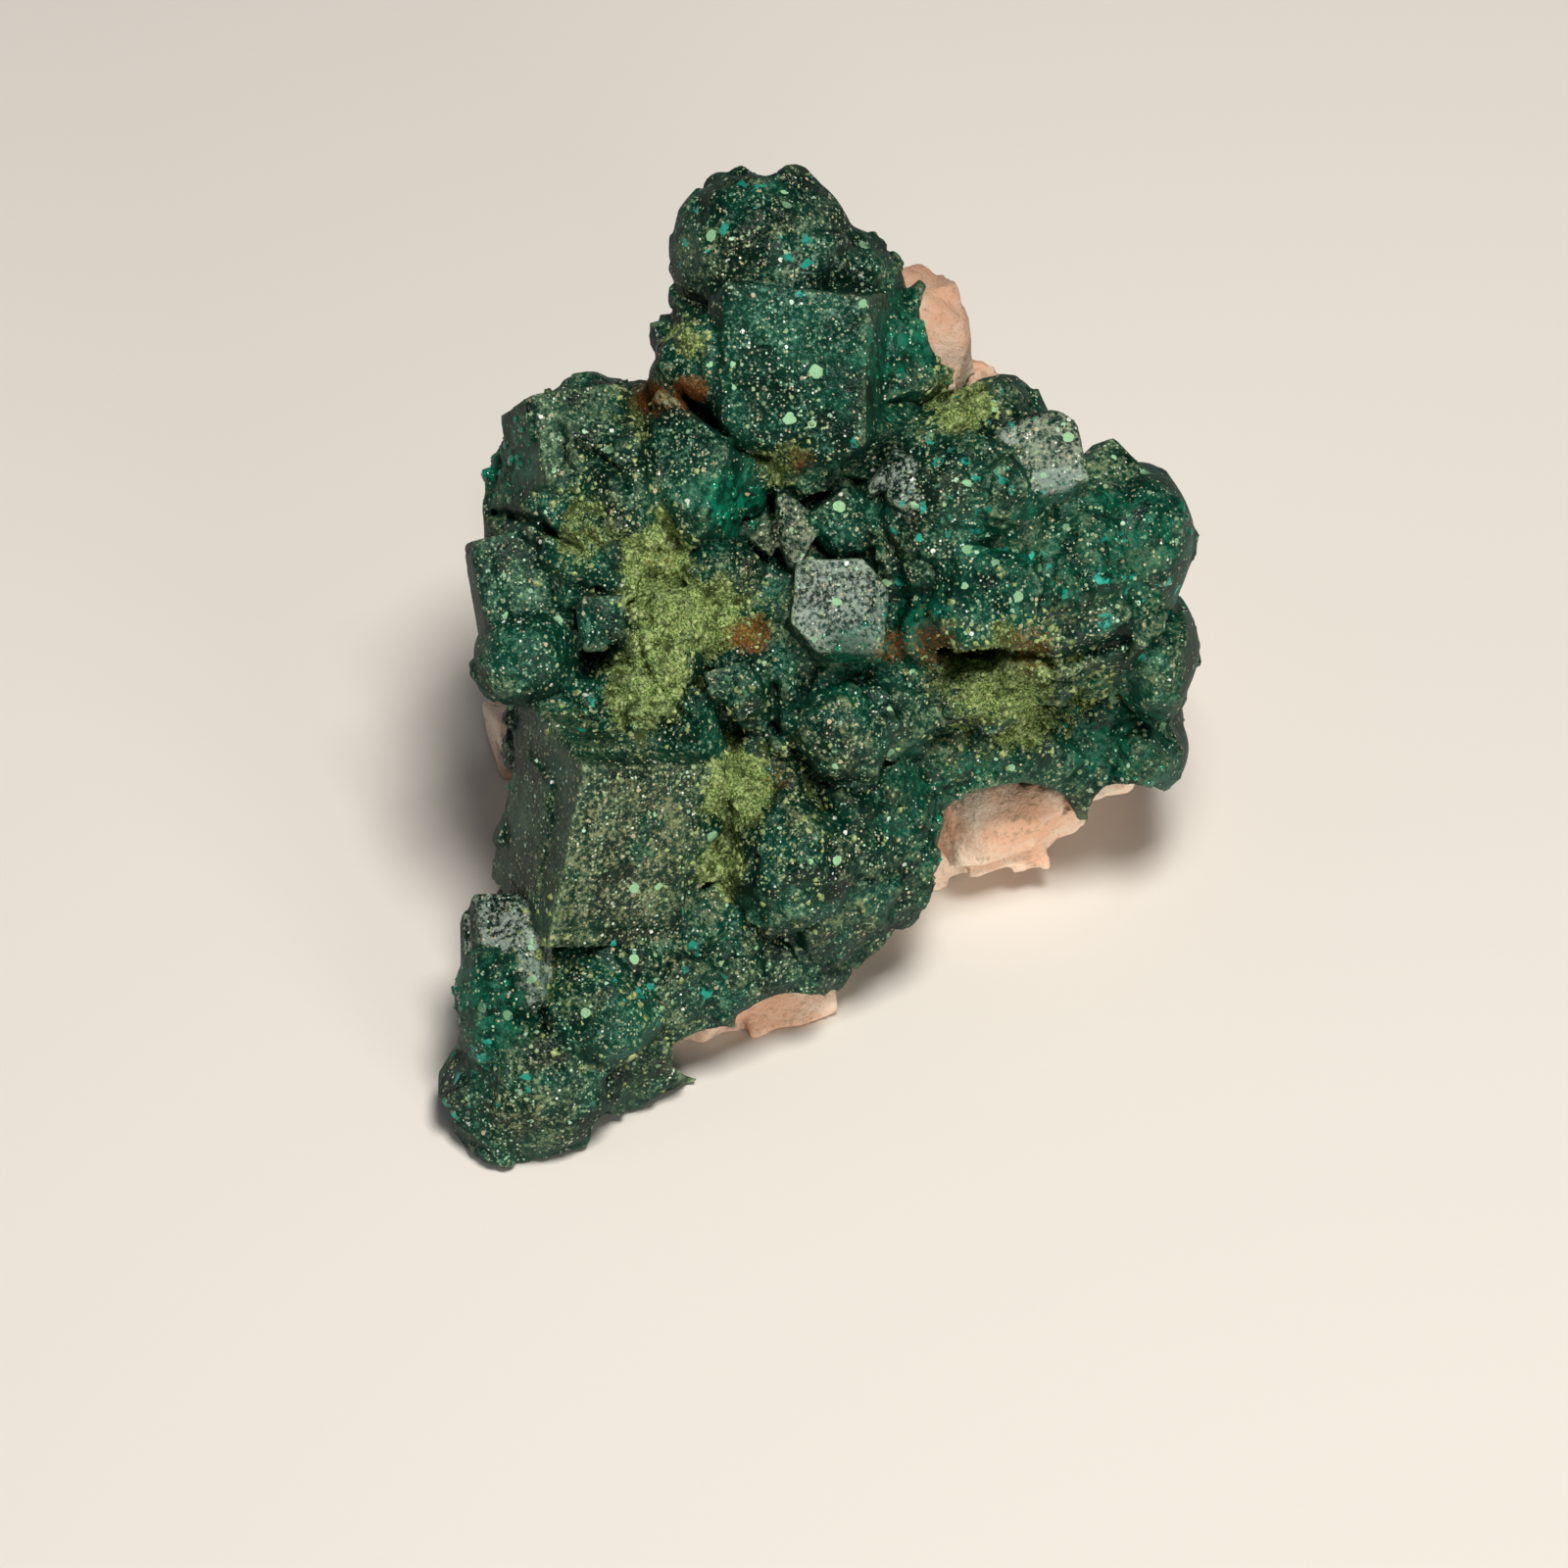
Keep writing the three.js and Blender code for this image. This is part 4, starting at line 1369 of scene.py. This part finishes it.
    def weights(self, flat: np.ndarray, rough: np.ndarray) -> dict[Zone, np.ndarray]:
        """Works out what lies at each point of the crust.

        Args:
            flat: the points, on the display face's axes.
            rough: a random number for each, that breaks up the patches' edges.

        Returns:
            A weight from 0 to 1 for each zone and point.
        """
        result = {zone: np.zeros(len(flat)) for zone in Zone}
        facing = np.clip((flat[:, 2] + 26) / 6, 0, 1)
        for patch in self.patches:
            away = np.hypot(*(flat[:, :2] - np.asarray(patch.at)).T) / patch.radius
            away = away + rough * 0.35
            strength = patch.weight * np.clip(1.5 - away, 0, 1) * facing
            result[patch.zone] = np.maximum(result[patch.zone], strength)
        return result


def solid_mesh(name: str, points: np.ndarray, quads: np.ndarray) -> bpy.types.Object:
    """Makes an object of a surface in millimetres.

    Args:
        name: the object's name.
        points: the surface's points.
        quads: its faces.

    Returns:
        The object, at the origin, in metres.
    """
    mesh = bpy.data.meshes.new(name)
    mesh.vertices.add(len(points))
    mesh.vertices.foreach_set("co", (points * MM).astype(np.float32).ravel())
    mesh.loops.add(len(quads) * 4)
    mesh.loops.foreach_set("vertex_index", quads.astype(np.int32).ravel())
    mesh.polygons.add(len(quads))
    mesh.polygons.foreach_set("loop_start", np.arange(0, len(quads) * 4, 4, dtype=np.int32))
    mesh.update(calc_edges=True)
    mesh.validate()
    mesh.shade_smooth()
    body = bpy.data.objects.new(name, mesh)
    bpy.context.scene.collection.objects.link(body)
    return body


def largest_island(points: np.ndarray, quads: np.ndarray) -> tuple[np.ndarray, np.ndarray]:
    """Keeps the largest connected part of a surface.

    Args:
        points: the surface's points.
        quads: its faces.

    Returns:
        The points and faces that are kept.
    """
    label = np.arange(len(points))
    while True:
        lowest = label[quads].min(axis=1)
        new = label.copy()
        for corner in range(4):
            np.minimum.at(new, quads[:, corner], lowest)
        new = new[new]
        if (new == label).all():
            break
        label = new
    names, counts = np.unique(label[quads[:, 0]], return_counts=True)
    kept = quads[label[quads[:, 0]] == names[counts.argmax()]]
    used = np.unique(kept)
    renumber = np.full(len(points), -1)
    renumber[used] = np.arange(len(used))
    return points[used], renumber[kept]


def thinned(body: bpy.types.Object, triangles: int) -> bpy.types.Object:
    """Thins a mesh out where it is flat, and keeps its edges of crystals sharp.

    Args:
        body: the object.
        triangles: how many triangles are left at most.

    Returns:
        The object.
    """
    modifier = body.modifiers.new("thin", "DECIMATE")
    modifier.ratio = min(1.0, triangles / (2 * len(body.data.polygons)))
    evaluated = body.evaluated_get(bpy.context.evaluated_depsgraph_get())
    mesh = bpy.data.meshes.new_from_object(evaluated)
    body.modifiers.clear()
    mesh.name = body.name
    body.data = mesh
    mesh.shade_smooth()
    mesh.set_sharp_from_angle(angle=math.radians(32))
    return body


def block_mesh(name: str, block: Block) -> bpy.types.Mesh:
    """Makes a mesh of a block.

    Args:
        name: the mesh's name.
        block: the block, in millimetres.

    Returns:
        The mesh, in metres about the origin.
    """
    corners = []
    for rows in map(list, combinations(range(len(block.normals)), 3)):
        if abs(np.linalg.det(block.normals[rows])) < 1e-6:
            continue
        corner = np.linalg.solve(block.normals[rows], block.reaches[rows])
        if (block.normals @ corner <= block.reaches + 1e-6).all():
            corners.append(corner * MM)
    solid = bmesh.new()
    for corner in np.unique(np.round(corners, 9), axis=0):
        solid.verts.new(corner)
    bmesh.ops.convex_hull(solid, input=solid.verts)
    mesh = bpy.data.meshes.new(name)
    solid.to_mesh(mesh)
    solid.free()
    return mesh


@dataclass(frozen=True)
class Druse:
    """Small bodies strewn over the crust by Geometry Nodes, where one of its marks is strong.

    Attributes:
        name: the piece's name.
        mark: the mark on the crust that says where they sit.
        per_mm2: how many there are to a square millimetre where the mark is full.
        smallest: the smallest one's size, in millimetres.
        largest: the largest one's size.
        sunk: how far each is sunk in, as a share of its size.
        finish: what they are made of.
        shape: the body at a size of one millimetre.
        seed: the seed of their places.
    """

    name: str
    mark: Enum
    per_mm2: float
    smallest: float
    largest: float
    sunk: float
    finish: GrainFinish
    shape: Block
    seed: int

    def tree(self, shape: bpy.types.Object, material: bpy.types.Material) -> tuple[Any, dict[str, str]]:
        """Builds the node tree.

        Args:
            shape: the body that is repeated.
            material: what it is made of.

        Returns:
            The tree, and the identifiers of its inputs by name.
        """
        tree = bpy.data.node_groups.new(self.name, "GeometryNodeTree")
        tree.is_modifier = True
        tree.interface.new_socket("Geometry", in_out="OUTPUT", socket_type="NodeSocketGeometry")
        tree.interface.new_socket("Geometry", in_out="INPUT", socket_type="NodeSocketGeometry")
        names = {}
        for name, kind in (
            ("Density", "NodeSocketFloat"),
            ("Smallest", "NodeSocketFloat"),
            ("Largest", "NodeSocketFloat"),
            ("Seed", "NodeSocketInt"),
        ):
            names[name] = tree.interface.new_socket(name, in_out="INPUT", socket_type=kind).identifier
        n = Nodes(tree)
        given = n.add("NodeGroupInput", output="Geometry").node.outputs
        mark = n.add("GeometryNodeInputNamedAttribute", {"Name": self.mark.value}, data_type="FLOAT")
        strength = n.add("ShaderNodeMath", {0: mark, 1: 2.0}, operation="POWER")
        density = n.add("ShaderNodeMath", {0: strength, 1: given["Density"]}, operation="MULTIPLY")
        points = n.add(
            "GeometryNodeDistributePointsOnFaces",
            {"Mesh": given["Geometry"], "Density": density, "Seed": given["Seed"]},
            "Points",
        ).node.outputs
        turn = n.add(
            "FunctionNodeRandomValue",
            {0: (-1.3, -1.3, -math.pi), 1: (1.3, 1.3, math.pi), "Seed": given["Seed"]},
            data_type="FLOAT_VECTOR",
        )
        turned = n.add(
            "FunctionNodeRotateRotation", {0: points["Rotation"], 1: turn}, rotation_space="LOCAL"
        )
        roll = n.add(
            "FunctionNodeRandomValue", {2: 0.0, 3: 1.0, "Seed": given["Seed"]}, 1, data_type="FLOAT"
        )
        # most are small
        roll = n.add("ShaderNodeMath", {0: roll, 1: 2.5}, operation="POWER")
        size = n.add(
            "ShaderNodeMapRange", {"Value": roll, "To Min": given["Smallest"], "To Max": given["Largest"]}
        )
        down = n.add("ShaderNodeVectorMath", {0: points["Normal"], "Scale": size}, operation="SCALE")
        down = n.add("ShaderNodeVectorMath", {0: down, "Scale": -self.sunk * MM}, operation="SCALE")
        sunk = n.add("GeometryNodeSetPosition", {"Geometry": points["Points"], "Offset": down})
        body = n.add("GeometryNodeObjectInfo", {"Object": shape}, "Geometry")
        bodies = n.add(
            "GeometryNodeInstanceOnPoints",
            {"Points": sunk, "Instance": body, "Rotation": turned, "Scale": size},
        )
        real = n.add("GeometryNodeRealizeInstances", {"Geometry": bodies})
        dressed = n.add("GeometryNodeSetMaterial", {"Geometry": real, "Material": material})
        n.add("NodeGroupOutput", {"Geometry": dressed})
        return tree, names

    def strew(self, crust: bpy.types.Object, material: bpy.types.Material) -> bpy.types.Object:
        """Strews the bodies over the crust.

        Args:
            crust: the crust, with its marks.
            material: what the bodies are made of.

        Returns:
            The bodies as one plain object.
        """
        name = f"{self.name}_shape"
        shape = bpy.data.objects.new(name, block_mesh(name, self.shape))
        body = bpy.data.objects.new(self.name, crust.data.copy())
        bpy.context.scene.collection.objects.link(body)
        modifier = body.modifiers.new("druse", "NODES")
        tree, names = self.tree(shape, material)
        modifier.node_group = tree
        modifier[names["Density"]] = self.per_mm2 / MM**2
        modifier[names["Smallest"]] = self.smallest
        modifier[names["Largest"]] = self.largest
        modifier[names["Seed"]] = self.seed
        evaluated = body.evaluated_get(bpy.context.evaluated_depsgraph_get())
        mesh = bpy.data.meshes.new_from_object(evaluated)
        body.modifiers.clear()
        body.data = mesh
        marks = [a.name for a in mesh.attributes if not a.is_required and not a.is_internal]
        for mark in marks:
            mesh.attributes.remove(mesh.attributes[mark])
        bpy.data.objects.remove(shape)
        return body


@dataclass
class Specimen:
    """The whole specimen, and the order in which its pieces are made.

    Attributes:
        crust_cell: the edge of the crust's cells, in millimetres.
        rock_cell: the edge of the rock's cells.
        ground: how high the rock's base lies.
        crust_lift: how high the crust's lowest edge lies.
        crust_triangles: how many triangles the crust has at most.
        rock: the rock.
        crust: the crystals.
        druses: what is strewn over them.
    """

    crust_cell: float = 0.2
    rock_cell: float = 0.3
    ground: float = 0.0
    crust_lift: float = 0.1
    crust_triangles: int = 190_000
    rock: HostRock = field(default_factory=HostRock)
    crust: CrystalCrust = field(default_factory=CrystalCrust)
    druses: tuple[Druse, ...] = (
        Druse(
            "powder_grains",
            Zone.POWDER,
            per_mm2=7.0,
            smallest=0.1,
            largest=0.4,
            sunk=0.3,
            # soft powder that lies in crumbs and gives back no gleam
            finish=GrainFinish("copper_carbonate_powder", 0x1C3014, 0xAABF7C, 0.95),
            shape=Rhomb(
                (-0.5, -0.5, -0.5), ((1.0, 0.15, 0.0), (0.0, 0.9, 0.2), (0.2, 0.0, 1.1))
            ).block(),
            seed=61,
        ),
        Druse(
            "small_dioptase_crystals",
            Zone.CLEAN,
            per_mm2=1.3,
            smallest=0.25,
            largest=0.9,
            sunk=0.3,
            # clean grown faces, that flash a livelier green than the large crystals
            finish=GrainFinish("dioptase_small_clean_crystals", 0x043426, 0x0F8466, 0.12, 1.66),
            shape=Crystal((0.0, 0.0, 0.0), 0.8, 1.3, (0.3, 0.2, 0.9), (0.0, 0.0, 1.0)).block(),
            seed=62,
        ),
    )

    def volume(self, cell: float) -> Volume:
        """An empty volume that holds the whole specimen with room to spare."""
        low, high = (np.asarray(corner) / MM for corner in CAD_BOX)
        return Volume(tuple(low - 2.0), tuple(high + 2.0), cell)

    def build(self) -> None:
        """Grows the rock and the crust and dresses them."""
        rock_volume = self.volume(self.rock_cell)
        self.rock.grow(rock_volume)
        crust_volume = self.volume(self.crust_cell)
        rock_field = crust_volume.spread_from(rock_volume)
        self.crust.grow(crust_volume, rock_field)
        rock_volume.cut((0, 0, -1), -self.ground)
        crust_volume.cut((0, 0, -1), -self.crust_lift)

        rock = solid_mesh("calcite_rock", *largest_island(*rock_volume.surface()))
        self.finish(rock, CalciteFinish().material(), "matrix_rock")
        crust = solid_mesh("dioptase_crust", *largest_island(*crust_volume.surface()))
        crust = thinned(crust, self.crust_triangles)
        self.mark(crust, crust_volume, np.minimum(crust_volume.values, rock_field))
        self.finish(crust, DioptaseFinish().material(), "dioptase_crystals")
        for druse in self.druses:
            material = druse.finish.material()
            self.finish(druse.strew(crust, material), material, "dioptase_crystals")

    def finish(self, body: bpy.types.Object, material: bpy.types.Material, node: str) -> None:
        """Dresses a piece, hangs it under the root body and hides the CAD node that it stands for.

        Args:
            body: the piece.
            material: what it is made of.
            node: the CAD node that it stands for.
        """
        body.data.materials.clear()
        body.data.materials.append(material)
        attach(body, "root")
        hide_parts(node)
        body.data.calc_loop_triangles()
        LOG.info("%s: %d triangles", body.name, len(body.data.loop_triangles))

    def mark(self, crust: bpy.types.Object, volume: Volume, whole: np.ndarray) -> None:
        """Keeps on the crust's mesh what lies where, for its material.

        Args:
            crust: the crust.
            volume: the volume that it was made from.
            whole: the distance to the whole specimen, on the same cells.
        """
        mesh = crust.data
        points = np.empty(len(mesh.vertices) * 3, dtype=np.float32)
        mesh.vertices.foreach_get("co", points)
        points = points.reshape(-1, 3) / MM
        normals = np.empty(len(points) * 3, dtype=np.float32)
        mesh.vertex_normals.foreach_get("vector", normals)
        normals = normals.reshape(-1, 3) @ FACE.turn
        rough = volume.sample(volume.noise(1.4, 51), points)
        marks: dict[Enum, np.ndarray] = dict(self.crust.weights(FACE.laid_flat(points), rough))
        marks[Place.FILM] = np.clip((normals[:, 2] - 0.3) / 0.5, 0, 1)
        # how full it is around each point, close by and farther off
        solid = (whole < 0).astype(np.float32)
        near = volume.sample(blurred(solid, round(0.5 / volume.cell)), points) - 0.5
        wide = volume.sample(blurred(solid, round(1.8 / volume.cell)), points) - 0.5
        marks[Place.HOLLOW] = np.clip(near * 1.4 + wide * 1.8, 0, 1)
        marks[Place.EDGE] = np.clip(-near * 4 - 0.5, 0, 1)
        marks[Place.TINT] = volume.sample(volume.tints, points)
        for key, values in marks.items():
            layer = mesh.attributes.new(key.value, "FLOAT", "POINT")
            layer.data.foreach_set("value", values.astype(np.float32))


@dataclass(frozen=True)
class Softbox:
    """A square soft light.

    Attributes:
        name: its name.
        at: where it hangs, in metres.
        size: its edge, in metres.
        power: how strong it is, in watts.
        colour: the colour of its light.
    """

    name: str
    at: Triple
    size: float
    power: float
    colour: int

    def light(self, aim: Vector) -> None:
        """Hangs the light up.

        Args:
            aim: the point that it is turned to.
        """
        light = bpy.data.lights.new(self.name, "AREA")
        light.size = self.size
        light.energy = self.power
        light.color = linear(self.colour)[:3]
        lamp = bpy.data.objects.new(self.name, light)
        lamp.location = self.at
        lamp.rotation_euler = (aim - Vector(self.at)).to_track_quat("-Z", "Y").to_euler()
        bpy.context.scene.collection.objects.link(lamp)


@dataclass(frozen=True)
class Studio:
    """The floor, the lights and the camera.

    Attributes:
        floor_colour: the pale paper below.
        floor_half: half the floor's edge, in metres.
        room_colour: the light that comes from all around.
        room_strength: how strong that is.
        softboxes: the lights.
        aim: what they are turned to.
        eye: where the camera stands, on the display face's axes, in millimetres.
        focal_mm: the lens.
    """

    floor_colour: int = 0xE0DEDA
    floor_half: float = 1.5
    room_colour: int = 0xE8ECF0
    room_strength: float = 0.1
    softboxes: tuple[Softbox, ...] = (
        Softbox("ceiling_softbox", (0.05, -0.1, 0.42), 0.12, 1.9, 0xFFF8EE),
        Softbox("left_softbox", (-0.4, -0.1, 0.3), 0.2, 0.1, 0xF2F6FF),
        Softbox("front_softbox", (0.22, -0.42, 0.07), 0.16, 1.15, 0xFFF4E6),
    )
    aim: Triple = (0.0, 0.0, 0.02)
    eye: Triple = (-1.72, -6.88, 600.0)
    focal_mm: float = 235.5

    def build(self) -> None:
        """Makes the floor, the lights and the camera."""
        scene = bpy.context.scene
        scene.view_settings.view_transform = "Standard"
        mesh = bpy.data.meshes.new("floor")
        corners = ((-1, -1), (1, -1), (1, 1), (-1, 1))
        points = [(x * self.floor_half, y * self.floor_half, 0) for x, y in corners]
        mesh.from_pydata(points, [], [(0, 1, 2, 3)])
        floor = bpy.data.objects.new("floor", mesh)
        scene.collection.objects.link(floor)
        material = bpy.data.materials.new("floor_matte_paper")
        material.use_nodes = True
        shader = material.node_tree.nodes["Principled BSDF"]
        shader.inputs["Base Color"].default_value = linear(self.floor_colour)
        shader.inputs["Roughness"].default_value = 0.9
        mesh.materials.append(material)

        world = bpy.data.worlds.new("soft_room")
        world.use_nodes = True
        room = world.node_tree.nodes["Background"].inputs
        room["Color"].default_value = linear(self.room_colour)
        room["Strength"].default_value = self.room_strength
        scene.world = world
        for softbox in self.softboxes:
            softbox.light(Vector(self.aim))

        camera = bpy.data.cameras.new("camera")
        camera.lens = self.focal_mm
        camera.sensor_width = 36.0
        camera.clip_end = 5.0
        viewer = bpy.data.objects.new("camera", camera)
        viewer.location = FACE.place(self.eye) * MM
        viewer.rotation_euler = (math.radians(90 - FACE.looks_up_deg), 0, 0)
        scene.collection.objects.link(viewer)
        scene.camera = viewer


def main() -> None:
    """Builds the studio and the specimen."""
    logging.basicConfig(level=logging.INFO, format="%(name)s: %(message)s")
    Studio().build()
    Specimen().build()


if __name__ == "__main__":
    main()
